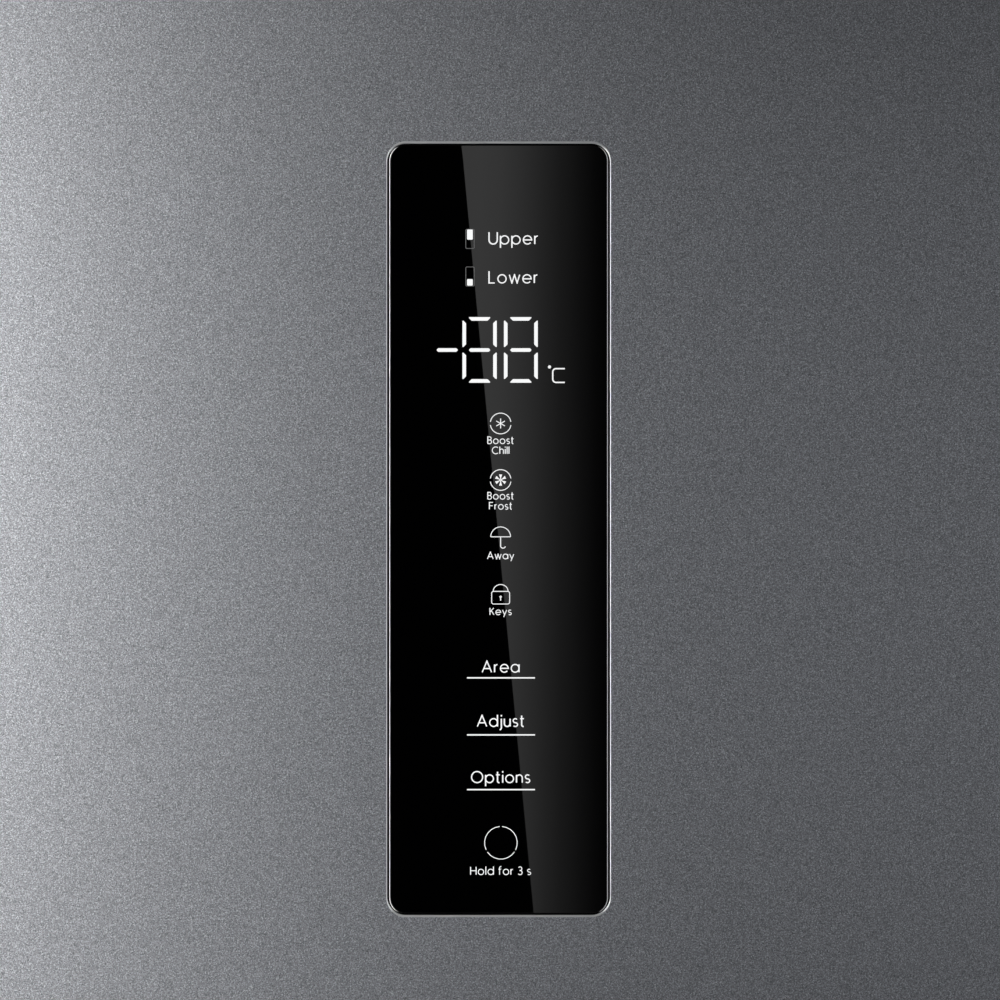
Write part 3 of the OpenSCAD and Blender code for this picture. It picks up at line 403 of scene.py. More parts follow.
@dataclass(frozen=True)
class Enamel(Finish):
    """Thick gloss enamel.

    Attributes:
        ripples: Ripples to the metre.
        ripple: Their height in metres.
    """

    ripples: float = 160.0
    ripple: float = 0.0001

    def add_to(self, g: Graph) -> None:
        """Adds the clear top and its slow ripple."""
        g.fix(Coat_Weight=0.8, Coat_Roughness=0.12)
        g.bump(g.noise(self.ripples, 1.0), self.ripple)


@dataclass(frozen=True)
class Clear(Finish):
    """Clear or frosted plastic.

    Attributes:
        cover: How much it hides what is behind it.
        flow: How far that goes either way, as the plastic flowed.
    """

    cover: float = 0.4
    flow: float = 0.02

    def add_to(self, g: Graph) -> None:
        """Lets light through, a little less where the plastic flowed thicker."""
        g.vary(g.noise(SLOW, 1.0), self.cover, self.flow, "Alpha")
        g.fix(IOR=1.49, Specular_IOR_Level=0.7)


@dataclass(frozen=True)
class ShelfGlass(Finish):
    """Toughened glass with a white printed band along both ends.

    Attributes:
        band: Distance from the middle to the band, in metres.
        edge: Width of the band's soft edge, in metres.
        cover: How much the bare glass and the band hide.
        print_colour: Colour of the band.
    """

    band: float = 0.225
    edge: float = 0.0006
    cover: Point = (0.3, 0.94)
    print_colour: Colour = (0.8, 0.82, 0.82)

    def add_to(self, g: Graph) -> None:
        """Prints the bands and leaves the rest clear.

        Args:
            g: The material's graph.
        """
        away = g.maths("ABSOLUTE", g.axis("X"))
        span = (self.band, self.band + self.edge)
        g.join(g.spread(away, span, self.cover), g.shader.inputs["Alpha"])
        g.paint(g.spread(away, span), [(0.0, self.colour), (1.0, self.print_colour)])
        g.fix(IOR=1.5)


@dataclass(frozen=True)
class BlackGlass(Finish):
    """Glass printed black on its back."""

    def add_to(self, g: Graph) -> None:
        """Leaves only the glass's own gloss."""
        g.tree.links.remove(g.shader.inputs["Normal"].links[0])
        g.fix(IOR=1.5)


@dataclass(frozen=True)
class Shadow(Finish):
    """The floor of a groove too deep for light."""

    def add_to(self, g: Graph) -> None:
        """Takes the gloss away."""
        g.fix(Specular_IOR_Level=0.0)


@dataclass(frozen=True)
class RimWithPaintedShade(Finish):
    """Metal with painted shade: its colour turns darker at the top and bottom of the display, where the lips
    reflect dark, and keeps its own colour down both sides.

    Attributes:
        ends: Linear colour of the painted shade at the top and bottom.
        middle: Height of the display's middle, in metres.
        reach: How far above and below it the colour starts to change.
        fade: The length of the change.
    """

    ends: Colour = BLACK
    middle: float = 1.4
    reach: float = 0.0992
    fade: float = 0.0009

    def add_to(self, g: Graph) -> None:
        """Paints the shade: turns to the ends' colour past the reach.

        Args:
            g: The material's graph.
        """
        away = g.maths("ABSOLUTE", g.maths("SUBTRACT", g.axis("Z"), self.middle))
        share = g.spread(away, (self.reach, self.reach + self.fade))
        g.paint(share, [(0.0, self.colour), (1.0, self.ends)])


@dataclass(frozen=True)
class Lit(Finish):
    """A white that shines by itself.

    Attributes:
        glow: Strength of the light, where 1 is white.
        patches: Uneven patches to the metre.
        dim: Colour of the dimmer ones.
    """

    glow: float = 1.0
    patches: float = 110.0
    dim: Colour = (0.94, 0.96, 0.97)

    def add_to(self, g: Graph) -> None:
        """Sets the light, a touch uneven as behind a diffuser.

        Args:
            g: The material's graph.
        """
        stops = [(NOISE[0], lit(self.dim, self.glow)), (NOISE[1], lit(WHITE, self.glow))]
        g.paint(g.noise(self.patches), stops, "Emission Color")
        g.fix(Emission_Strength=1.0)


@dataclass(frozen=True)
class Ribbed(Lit):
    """A lit lens with fine ribs across it.

    Attributes:
        ribs: Scale of the ribs.
        rib: Their height in metres.
    """

    ribs: float = 55.0
    rib: float = 0.0008

    def add_to(self, g: Graph) -> None:
        """Adds the ribs to the light."""
        super().add_to(g)
        g.bump(g.pattern("ShaderNodeTexWave", "Fac", Scale=self.ribs), self.rib)


@dataclass(frozen=True)
class Sweep(Finish):
    """A studio floor that turns into the white background far from the object.

    Attributes:
        near: Distance at which it starts to turn, in metres.
        far: Distance at which it is white.
    """

    near: float = 1.6
    far: float = 5.0

    def add_to(self, g: Graph) -> None:
        """Fades the paint out and the light in, with the distance from the middle.

        Args:
            g: The material's graph.
        """
        away = g.add("ShaderNodeVectorMath")
        away.operation = "LENGTH"
        g.join(g.place, away.inputs[0])
        share = g.spread(away.outputs["Value"], (self.near, self.far))
        g.paint(share, [(0.0, self.colour), (1.0, BLACK)])
        g.paint(share, [(0.0, BLACK), (1.0, WHITE)], "Emission Color")
        g.fix(Emission_Strength=1.0, Specular_IOR_Level=0.0)


FINISHES: dict[str, Finish] = {
    "door_steel": DoorSteel((0.2275, 0.238, 0.2605), 0.335, 1.0, 2750.0, 0.000001, wander=0.002),
    "cabinet_steel": Finish((0.23, 0.24, 0.257), 0.42, 0.85, 1500.0, 0.000004, 0.14),
    "plain_steel": ZincSheet((0.5, 0.51, 0.52), 0.42, 0.9, 600.0, 0.00001),
    "base_steel": Finish((0.16, 0.165, 0.172), 0.5, 0.3, 1100.0, 0.00003, 0.08),
    "foam": Foam((0.8, 0.7, 0.42), 0.9),
    "liner_white": Finish((0.84, 0.855, 0.86), 0.33, 0.0, 420.0, 0.00002, 0.012),
    "hinge_steel": Brushed((0.46, 0.47, 0.49), 0.34, 1.0, 900.0, 0.00001, 0.12),
    "screw_steel": Brushed((0.56, 0.57, 0.58), 0.28, 1.0, 1500.0, 0.00001, 0.1),
    "dark_plastic": Finish((0.04, 0.042, 0.045), 0.55, 0.0, 1300.0, 0.00005, 0.1),
    "cap_plastic": Finish((0.085, 0.089, 0.096), 0.5, 0.0, 1300.0, 0.00005, 0.08),
    "compressor_black": Enamel((0.012, 0.012, 0.013), 0.3, 0.0, 500.0),
    "mount_rubber": Finish((0.022, 0.022, 0.022), 0.8, 0.0, 1600.0, 0.00006, 0.15),
    "roller_plastic": Finish((0.055, 0.056, 0.06), 0.45, 0.0, 1000.0, 0.00004, 0.1),
    "box_plastic": Finish((0.68, 0.69, 0.7), 0.5, 0.0, 1200.0, 0.00005, 0.03),
    "copper": Brushed((0.72, 0.36, 0.21), 0.27, 1.0, 700.0, 0.00002, 0.16),
    "lamp_cover": Ribbed((0.85, 0.87, 0.88), 0.4, glow=0.9),
    "shelf_glass": ShelfGlass((0.6, 0.8, 0.76), 0.04, 0.0, 60.0, 0.0),
    "trim_plastic": Finish((0.5, 0.52, 0.54), 0.3, 0.5, 1200.0, 0.00001, 0.04),
    "fin_aluminium": Brushed((0.68, 0.69, 0.7), 0.34, 1.0, 1300.0, 0.00002, 0.1),
    "fan_plastic": Finish((0.09, 0.092, 0.1), 0.45, 0.0, 1200.0, 0.00004, 0.08),
    "clear_plastic": Clear((0.82, 0.89, 0.92), 0.12, 0.0, 200.0, 0.00002, 0.02, cover=0.4),
    "frost_plastic": Clear((0.85, 0.9, 0.93), 0.3, 0.0, 1500.0, 0.00006, 0.02, cover=0.66),
    "seal_rubber": Finish((0.42, 0.43, 0.44), 0.62, 0.0, 1500.0, 0.00004, 0.06),
    "display_glass": BlackGlass((0.0002, 0.0002, 0.00025), 0.006, 0.0, 60.0, 0.0, wander=0.002),
    # The outer lip and the inner lip: painted shade darkens them at the top and bottom of the display, the
    # inner lip to black.
    "bezel_metal": RimWithPaintedShade((0.92, 0.93, 0.95), 0.33, 1.0, 1500.0, 0.000001, 0.04, ends=(0.45, 0.46, 0.48)),
    "rim_line_shaded_ends": RimWithPaintedShade((0.9, 0.91, 0.93), 0.33, 1.0, 1500.0, 0.000001, 0.04),
    "rim_groove": Shadow((0.001, 0.001, 0.001), 0.8, 0.0, 1500.0, 0.0, 0.2),
    "legend": Lit(BLACK, 0.6, glow=0.97),
    "legend_dim": Lit(BLACK, 0.6, glow=0.1),
}
FLOOR = Sweep((0.8, 0.8, 0.8), 0.85, 0.0, 3.0, 0.0, 0.01)


class Wardrobe:
    """Makes each finish once and puts it on pieces."""

    made: dict[str, bpy.types.Material] = {}

    @classmethod
    def put_on(cls, piece: Piece, *names: str) -> None:
        """Gives a piece its materials, in the order of its slots.

        Args:
            piece: The piece.
            names: Names of the finishes, as in FINISHES.
        """
        if piece.data.materials:
            piece.data.materials.clear()
        for name in names:
            if name not in cls.made:
                cls.made[name] = FINISHES[name].make(name)
            piece.data.materials.append(cls.made[name])

    @classmethod
    def dress(cls, *nodes: str) -> None:
        """Gives CAD nodes that stay the finish of their slot.

        Args:
            nodes: Names of the nodes.
        """
        for node in nodes:
            cls.put_on(frame["nodes"][node], SLOT_OF[node])
            LOG.info("%s wears %s", node, SLOT_OF[node])


class Bench:
    """Modelling with Blender's operators, one piece at a time."""

    @staticmethod
    def only(piece: Piece) -> None:
        """Selects one piece alone and makes it active.

        Args:
            piece: The piece.
        """
        bpy.ops.object.select_all(action="DESELECT")
        piece.select_set(True)
        bpy.context.view_layer.objects.active = piece

    @staticmethod
    def place(name: str, data: bpy.types.ID) -> Piece:
        """Puts data into the scene as an object.

        Args:
            name: Name of the object.
            data: Its mesh, curve, light or camera.

        Returns:
            The object.
        """
        piece = bpy.data.objects.new(name, data)
        bpy.context.scene.collection.objects.link(piece)
        return piece

    @staticmethod
    def begin(primitive: Callable[..., object], **values: object) -> Piece:
        """Adds a primitive, with all else deselected.

        Args:
            primitive: The operator.
            values: Its settings.

        Returns:
            The new piece.
        """
        bpy.ops.object.select_all(action="DESELECT")
        primitive(**values)
        return bpy.context.object

    @staticmethod
    @contextmanager
    def edit(piece: Piece) -> Iterator[None]:
        """Opens a piece in edit mode, with nothing selected, for the block that follows.

        Args:
            piece: The piece.

        Yields:
            Nothing; edit mode ends after the block.
        """
        Bench.only(piece)
        bpy.ops.object.mode_set(mode="EDIT")
        bpy.ops.mesh.select_mode(type="FACE")
        bpy.ops.mesh.select_all(action="DESELECT")
        yield
        bpy.ops.object.mode_set(mode="OBJECT")

    @staticmethod
    def pick_faces(piece: Piece, wanted: Callable[[Face], bool]) -> None:
        """Selects, in edit mode, the faces that pass a test and no others.

        Args:
            piece: The piece.
            wanted: The test.
        """
        bpy.ops.mesh.select_mode(type="FACE")
        mesh = bmesh.from_edit_mesh(piece.data)
        for face in mesh.faces:
            face.select_set(wanted(face))
        mesh.select_flush(True)
        bmesh.update_edit_mesh(piece.data)

    @staticmethod
    def pick_edges(piece: Piece, wanted: Callable[[Edge], bool]) -> None:
        """Selects, in edit mode, the edges that pass a test and no others.

        Args:
            piece: The piece.
            wanted: The test.
        """
        bpy.ops.mesh.select_mode(type="EDGE")
        bpy.ops.mesh.select_all(action="DESELECT")
        mesh = bmesh.from_edit_mesh(piece.data)
        for edge in mesh.edges:
            if wanted(edge):
                edge.select_set(True)
        bmesh.update_edit_mesh(piece.data)

    @staticmethod
    def bevel(radius: float, steps: int, affect: str = "EDGES") -> None:
        """Bevels what is selected, radius in millimetres."""
        bpy.ops.mesh.bevel(offset=radius * MM, offset_type="OFFSET", segments=steps, affect=affect)

    @staticmethod
    def settle(piece: Piece) -> None:
        """Puts a piece's place, turn and scale into its mesh."""
        Bench.only(piece)
        bpy.ops.object.transform_apply(location=True, rotation=True, scale=True)

    @staticmethod
    def modify(piece: Piece, kind: str, **values: object) -> None:
        """Adds a modifier, sets it and applies it.

        Args:
            piece: The piece.
            kind: Blender's name for the kind of modifier.
            values: Its settings.
        """
        modifier = piece.modifiers.new("shape", kind)
        for name, value in values.items():
            setattr(modifier, name, value)
        Bench.only(piece)
        bpy.ops.object.modifier_apply(modifier=modifier.name)

    @staticmethod
    def round_edges(piece: Piece, radius: float, steps: int, above: float) -> None:
        """Rounds every edge that turns by more than above degrees.

        Args:
            piece: The piece.
            radius: Radius in millimetres.
            steps: Segments of the rounding.
            above: Least turn of an edge that is rounded, in degrees.
        """
        Bench.modify(
            piece, "BEVEL", width=radius * MM, segments=steps, limit_method="ANGLE",
            angle_limit=math.radians(above), offset_type="OFFSET",
        )

    @staticmethod
    def face_out(piece: Piece) -> None:
        """Turns every face of a closed piece outwards, after its doubles are merged.

        Args:
            piece: The piece, which is closed.
        """
        with Bench.edit(piece):
            bpy.ops.mesh.select_all(action="SELECT")
            bpy.ops.mesh.remove_doubles(threshold=MERGE / 2)
            bpy.ops.mesh.normals_make_consistent(inside=False)

    @staticmethod
    def draw(curve: bpy.types.Curve, points: Sequence[Sequence[float]], closed: bool) -> None:
        """Adds a line of straight runs to a curve.

        Args:
            curve: The curve.
            points: The line's points in metres.
            closed: Whether it runs back to its start.
        """
        spline = curve.splines.new("POLY")
        spline.points.add(len(points) - 1)
        for dot, place in zip(spline.points, points):
            dot.co = (*place, 1.0)
        spline.use_cyclic_u = closed

    @staticmethod
    def join(pieces: Sequence[Piece], name: str) -> Piece:
        """Joins pieces into the first one, names it and returns it.

        Args:
            pieces: The pieces; the first one takes in the others.
            name: Its new name.

        Returns:
            The joined piece.
        """
        Bench.only(pieces[0])
        for piece in pieces:
            piece.select_set(True)
        if len(pieces) > 1:
            bpy.ops.object.join()
        pieces[0].name = pieces[0].data.name = name
        return pieces[0]

    @staticmethod
    def hand_over(
        piece: Piece, body: str, slot: str, *replaced: str, wears: Sequence[str] = (), smooth: float = 38.0
    ) -> None:
        """Dresses and smooths a finished piece, mounts it on its body and logs it.

        Args:
            piece: The piece.
            body: The body that it rides on.
            slot: The record's material slot.
            replaced: The CAD nodes that it stands for.
            wears: Its finishes, where they aren't the slot's own.
            smooth: Edges that turn by fewer degrees are shaded smooth.
        """
        Wardrobe.put_on(piece, *(wears or (slot,)))
        Bench.only(piece)
        bpy.ops.object.shade_smooth_by_angle(angle=math.radians(smooth))
        Bench.modify(piece, "WEIGHTED_NORMAL", keep_sharp=True, weight=60)
        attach(piece, body)
        if replaced:
            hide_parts(*replaced)
        LOG.info("%s rides on %s with %d faces", piece.name, body, len(piece.data.polygons))


@dataclass(frozen=True)
class Casting:
    """A CAD node that is kept in shape and gets the soft edges of the real piece.

    Attributes:
        node: The CAD node.
        radius: Edge radius in millimetres; nothing is rounded at 0.
        steps: Segments of the rounding.
        above: Least turn of an edge that is rounded, in degrees.
    """

    node: str
    radius: float = 0.6
    steps: int = 2
    above: float = 32.0

    def copy(self) -> Piece:
        """Returns a merged copy of the node, its flat faces made whole.

        Returns:
            The copy.
        """
        piece = Bench.place(f"{self.node}_finished", frame["nodes"][self.node].data.copy())
        with Bench.edit(piece):
            bpy.ops.mesh.customdata_custom_splitnormals_clear()
            bpy.ops.mesh.select_all(action="SELECT")
            bpy.ops.mesh.remove_doubles(threshold=MERGE)
            bpy.ops.mesh.dissolve_limited(angle_limit=FLAT)
        return piece

    def build(self, shape: Callable[[Piece], None] | None = None) -> None:
        """Makes, dresses and mounts the piece.

        Args:
            shape: What else is done to the copy before its edges are rounded.
        """
        piece = self.copy()
        if shape:
            shape(piece)
        if self.radius:
            Bench.round_edges(piece, self.radius, self.steps, self.above)
        Bench.hand_over(piece, BODY_OF[self.node], SLOT_OF[self.node], self.node)


@dataclass
class Assembly:
    """A sub-assembly. Sizes are millimetres.

    Attributes:
        castings: Its pieces that follow the CAD.
    """

    castings: tuple[Casting, ...] = ()

    def build(self) -> None:
        """Builds the castings."""
        for casting in self.castings:
            casting.build()


# Strokes are lines of points, across and up in millimetres. Arcs have a point every so many degrees,
# a turn sharper than CORNER is a corner, and points nearer than NEAR are one.
ARC_STEP = 15
CORNER = 40
NEAR = 0.02


def arc(cx: float, cz: float, rx: float, rz: float, start: float, end: float) -> Stroke:
    """Returns points along an arc of an ellipse, from start to end in degrees.

    Args:
        cx: Middle across.
        cz: Middle up.
        rx: Radius across.
        rz: Radius up.
        start: First angle, from the right and turning left.
        end: Last angle.

    Returns:
        The points.
    """
    steps = max(4, round(abs(end - start) / ARC_STEP))
    turns = [math.radians(start + (end - start) * i / steps) for i in range(steps + 1)]
    return [(cx + rx * math.cos(a), cz + rz * math.sin(a)) for a in turns]


def rounded(half_x: float, half_z: float, r: float) -> Stroke:
    """Returns the outline of a rectangle with round corners about the origin.

    Args:
        half_x: Half the width.
        half_z: Half the height.
        r: Corner radius.

    Returns:
        The closed outline.
    """
    corners = [(1, 1, 0), (-1, 1, 90), (-1, -1, 180), (1, -1, 270)]
    found: Stroke = []
    for sx, sz, start in corners:
        found += arc(sx * (half_x - r), sz * (half_z - r), r, r, start, start + 90)
    return [*found, found[0]]


def split_ring(at: Point, r: float, parts: int, start: int, gap: float) -> list[Stroke]:
    """Returns a ring with gaps.

    Args:
        at: Its middle.
        r: Its radius.
        parts: Number of its parts.
        start: Angle of the first gap in degrees.
        gap: Half of each gap in degrees.

    Returns:
        The parts.
    """
    share = 360 // parts
    return [arc(*at, r, r, a + gap, a + share - gap) for a in range(start, start + 360, share)]


def moved(stroke: Stroke, x: float, z: float) -> Stroke:
    """Returns a stroke moved by x and z."""
    return [(x + px, z + pz) for px, pz in stroke]


def drawn_on(a: Point, b: Point, by: float) -> Point:
    """Returns the point that lies by beyond b on the line from a."""
    return tuple(q + (q - p) * by / math.dist(a, b) for p, q in zip(a, b))


def at_corners(stroke: Stroke, overlap: float) -> list[Stroke]:
    """Splits a stroke at its corners.

    Args:
        stroke: Points, no two alike in a row.
        overlap: How far both parts are drawn on past a corner.

    Returns:
        The parts, which are the stroke itself where it has no corner.
    """
    parts: list[Stroke] = [[stroke[0]]]
    for a, b, c in zip(stroke, stroke[1:], stroke[2:]):
        before, after = Vector(b) - Vector(a), Vector(c) - Vector(b)
        if before.angle(after) > math.radians(CORNER):
            parts[-1].append(drawn_on(a, b, overlap))
            parts.append([drawn_on(c, b, overlap)])
        else:
            parts[-1].append(b)
    parts[-1].append(stroke[-1])
    return parts


class Lettering:
    """A plain line alphabet with round bowls: capitals are 1 high, small letters X high."""

    X = 0.7
    TRACK = 0.27

    def __init__(self) -> None:
        """Draws the letters in use, each as its width and its strokes."""
        x, r = self.X, self.X / 2
        bowl = arc(r, r, r, r, 0, 360)
        arch = arc(0.26, x - 0.26, 0.26, 0.26, 180, 0)
        cup = arc(0.26, 0.26, 0.26, 0.26, 180, 360)
        self.letters: dict[str, tuple[float, list[Stroke]]] = {
            "A": (0.84, [[(0, 0), (0.42, 1), (0.84, 0)], [(0.14, 0.33), (0.7, 0.33)]]),
            "B": (0.54, [
                [(0, 0), (0, 1), (0.26, 1), *arc(0.26, 0.77, 0.22, 0.23, 90, -90), (0, 0.54)],
                [(0.26, 0.54), *arc(0.27, 0.27, 0.27, 0.27, 90, -90), (0, 0)],
            ]),
            "C": (0.82, [arc(0.5, 0.5, 0.5, 0.5, 50, 310)]),
            "F": (0.52, [[(0.52, 1), (0, 1), (0, 0)], [(0, 0.52), (0.46, 0.52)]]),
            "H": (0.7, [[(0, 0), (0, 1)], [(0.7, 0), (0.7, 1)], [(0, 0.5), (0.7, 0.5)]]),
            "K": (0.58, [[(0, 0), (0, 1)], [(0.55, 1), (0, 0.4)], [(0.18, 0.6), (0.58, 0)]]),
            "L": (0.48, [[(0, 1), (0, 0), (0.48, 0)]]),
            "O": (1.0, [arc(0.5, 0.5, 0.5, 0.5, 0, 360)]),
            "U": (0.7, [[(0, 1), (0, 0.35), *arc(0.35, 0.35, 0.35, 0.35, 180, 360), (0.7, 1)]]),
            "a": (x, [bowl, [(x, 0), (x, x)]]),
            "d": (x, [bowl, [(x, 0), (x, 1.05)]]),
            "e": (x, [[(0.02, r), (x, r), *arc(r, r, r, r, 15, 320)]]),
            "f": (0.3, [[*arc(0.27, 0.87, 0.17, 0.17, 70, 180), (0.1, 0)], [(-0.04, x), (0.3, x)]]),
            "h": (0.52, [[(0, 0), (0, 1.05)], [*arch, (0.52, 0)]]),
            "i": (0.0, [[(0, 0), (0, x)], [(0, 0.9), (0, 1.04)]]),
            "j": (0.08, [
                [(0.08, x), (0.08, -0.12), *arc(-0.1, -0.12, 0.18, 0.18, 0, -80)],
                [(0.08, 0.9), (0.08, 1.04)],
            ]),
            "l": (0.0, [[(0, 0), (0, 1.05)]]),
            "n": (0.52, [[(0, 0), (0, x)], [*arch, (0.52, 0)]]),
            "o": (x, [bowl]),
            "p": (x, [bowl, [(0, -0.32), (0, x)]]),
            "r": (0.26, [[(0, 0), (0, x)], arc(0.28, x - 0.29, 0.28, 0.28, 180, 95)]),
            "s": (0.4, [[*arc(0.2, 0.52, 0.19, 0.18, 40, 270), *arc(0.2, 0.17, 0.2, 0.17, 90, -140)]]),
            "t": (0.3, [
                [(0.1, 0.98), *arc(0.25, 0.15, 0.15, 0.15, 180, 280)],
                [(-0.04, x), (0.3, x)],
            ]),
            "u": (0.52, [[(0, x), *cup], [(0.52, 0), (0.52, x)]]),
            "w": (0.88, [[(0, x), (0.22, 0), (0.44, x), (0.66, 0), (0.88, x)]]),
            "y": (0.6, [[(0, x), (0.31, 0)], [(0.6, x), (0.17, -0.32)]]),
            "3": (0.5, [[*arc(0.23, 0.76, 0.23, 0.24, 150, -90), *arc(0.23, 0.27, 0.27, 0.27, 90, -145)]]),
            " ": (0.14, []),
        }

    def width(self, words: str, height: float) -> float:
        """Returns how wide words are set at a height of capitals."""
        return height * (sum(self.letters[c][0] for c in words) + self.TRACK * (len(words) - 1))

    def words(self, words: str, left: float, base: float, height: float) -> list[Stroke]:
        """Returns the strokes of words whose left edge and base line are given, in millimetres.

        Args:
            words: The words.
            left: Their left edge.
            base: Their base line.
            height: Height of the capitals.

        Returns:
            The strokes.
        """
        found, x = [], left
        for c in words:
            advance, lines = self.letters[c]
            found += [[(x + height * px, base + height * pz) for px, pz in line] for line in lines]
            x += height * (advance + self.TRACK)
        return found

    def centred(self, words: str, middle: float, base: float, height: float) -> list[Stroke]:
        """Returns the strokes of words centred about middle."""
        return self.words(words, middle - self.width(words, height) / 2, base, height)


class Weight(Enum):
    """Widths of the legends' strokes, in millimetres."""

    FAINT = 0.22
    HAIR = 0.23
    SMALL = 0.25
    TEXT = 0.355
    RULE = 0.405


@dataclass
class Pictograms:
    """The four pictograms. Sizes are millimetres from the legends' centre.

    Attributes:
        middle: Their middle line.
    """

    middle: float
    # Heights, radii, and the arms' and barbs' ends as distance and turn in radians
    orbit_r: float = 2.72
    orbit_gap: float = 9
    chill_z: float = 27.57
    chill_arm: float = 1.3
    frost_z: float = 12.8
    frost_arm: Point = (0.1, 1.45)
    frost_barb: tuple[Point, Point] = ((0.7, 0.06), (1.5, 0.2))
    dome_z: float = -2.04
    dome_r: float = 2.6
    brim: float = 2.58
    shaft_z: float = -4.45
    crook_r: Point = (0.62, 0.55)
    lock_z: Point = (-16.3, -19.6)
    lock_half: float = 2.35
    lock_r: float = 0.5
    shackle_r: Point = (1.95, 1.8)
    keyhole_z: float = -17.72
    keyhole_r: float = 0.19
    slot_z: Point = (-17.9, -18.72)

    def strokes(self) -> list[Stroke]:
        """Returns the strokes of all four."""
        return self.chill() + self.frost() + self.away() + self.lock()

    def orbit(self, z: float) -> list[Stroke]:
        """Returns the split ring round the icon at height z."""
        return split_ring((self.middle, z), self.orbit_r, 2, 0, self.orbit_gap)

    def spoke(self, z: float, near: Point, far: Point) -> Stroke:
        """Returns a line of an icon at height z, each end given by its distance and angle in radians."""
        return [(self.middle + r * math.cos(a), z + r * math.sin(a)) for r, a in (near, far)]

    def chill(self) -> list[Stroke]:
        """Returns a star of six arms in a split ring.

        Returns:
            The strokes.
        """
        found = self.orbit(self.chill_z)
        for turn in (90, 150, 210):
            a, r = math.radians(turn), self.chill_arm
            found.append(self.spoke(self.chill_z, (-r, a), (r, a)))
        return found

    def frost(self) -> list[Stroke]:
        """Returns a snow crystal in a split ring.

        Returns:
            The strokes.
        """
        found = self.orbit(self.frost_z)
        near, far = self.frost_arm
        for turn in range(90, 450, 60):
            a = math.radians(turn)
            found.append(self.spoke(self.frost_z, (near, a), (far, a)))
            for side in (-1, 1):
                ends = [(r, a + side * away) for r, away in self.frost_barb]
                found.append(self.spoke(self.frost_z, *ends))
        return found

    def away(self) -> list[Stroke]:
        """Returns an umbrella.

        Returns:
            The strokes.
        """
        m, z, r = self.middle, self.dome_z, self.dome_r
        crook = arc(m + self.crook_r[0], self.shaft_z, *self.crook_r, 180, 350)
        shaft = [(m, z), (m, self.shaft_z), *crook]
        return [arc(m, z, r, r, 180, 0), [(m - self.brim, z), (m + self.brim, z)], shaft]

    def lock(self) -> list[Stroke]:
        """Returns a padlock.

        Returns:
            The strokes.
        """
        m, (top, low), r = self.middle, self.lock_z, self.keyhole_r
        body = moved(rounded(self.lock_half, (top - low) / 2, self.lock_r), m, (top + low) / 2)
        slot = [(m, z) for z in self.slot_z]
        return [body, arc(m, top, *self.shackle_r, 180, 0), arc(m, self.keyhole_z, r, r, 0, 360), slot]


@dataclass
class Digits:
    """The lit bars and marks. Sizes are millimetres from the legends' centre.

    Attributes:
        centre: The legends' centre, in metres.
        proud: Height of the bars on the glass.
    """

    centre: Vector
    proud: float
    # Bars: width, corner radius, what is cut off as a share of the width, and lengths
    bar_w: float = 0.94
    bar_round: float = 0.09
    end_cut: float = 0.72
    middle_cut: float = 0.4
    stroke_h: float = 6.87
    stroke_w: float = 5.5
    # Heights of the lying and standing bars, and the places of the minus sign and both digits' sides
    rows: tuple[float, float, float] = (54.9, 46.77, 38.69)
    standing_z: Point = (51.0, 42.64)
    minus_x: float = -13.52
    digit_sides: tuple[Point, ...] = ((-9.08, -1.05), (1.76, 9.67))
    # Degree mark and filled marks: place, size and cut
    marks: tuple[tuple[float, float, Point, float], ...] = (
        (13.2, 42.35, (0.8, 0.8), 0.23), (-7.6, 76.92, (1.5, 2.65), 0.15), (-7.6, 64.45, (1.5, 1.7), 0.15),
    )

    def bar(self, x: float, z: float, size: Point, cut: float, inner: Point = (0, 0)) -> Piece:
        """Makes one lit bar.

        Args:
            x: Its middle across, in millimetres from the legends' centre.
            z: Its middle up.
            size: Its width and height.
            cut: How much is cut off its corners.
            inner: The way to its inner side, whose corners alone are cut; all of them are at (0, 0).

        Returns:
            The bar.
        """
        piece = Bench.begin(bpy.ops.mesh.primitive_cube_add, size=1.0)
        piece.scale = (size[0] * MM, 2 * self.proud * MM, size[1] * MM)
        Bench.settle(piece)

        def runs_back(edge: Edge) -> bool:
            """Says whether an edge runs front to back."""
            a, b = (v.co for v in edge.verts)
            return abs((a - b).normalized().y) > ALONG

        def is_cut(edge: Edge) -> bool:
            """Says whether an edge runs front to back on a side that is cut."""
            place = edge.verts[0].co
            return runs_back(edge) and place.x * inner[0] + place.z * inner[1] >= 0

        with Bench.edit(piece):
            for wanted, radius, steps in ((is_cut, cut, 1), (runs_back, self.bar_round, 2)):
                Bench.pick_edges(piece, wanted)
                Bench.bevel(radius, steps)
        piece.location = self.centre + Vector((x * MM, 0, z * MM))
        Bench.settle(piece)
        return piece

    def build(self) -> Piece:
        """Builds the minus sign, both digits, the degree mark and the two filled marks.

        Returns:
            The bars as one piece.
        """
        w, (top, middle, low) = self.bar_w, self.rows
        lying, standing = (self.stroke_w, w), (w, self.stroke_h)
        end, centre = self.end_cut * w, self.middle_cut * w
        bars = [self.bar(self.minus_x, middle, lying, centre)]
        for left, right in self.digit_sides:
            across = (left + right) / 2
            bars.append(self.bar(across, top, lying, end, (0, -1)))
            bars.append(self.bar(across, middle, lying, centre))
            bars.append(self.bar(across, low, lying, end, (0, 1)))
            for z in self.standing_z:
                bars.append(self.bar(left, z, standing, end, (1, 0)))
                bars.append(self.bar(right, z, standing, end, (-1, 0)))
        bars += [self.bar(*mark) for mark in self.marks]
        return Bench.join(bars, "legend_digits")


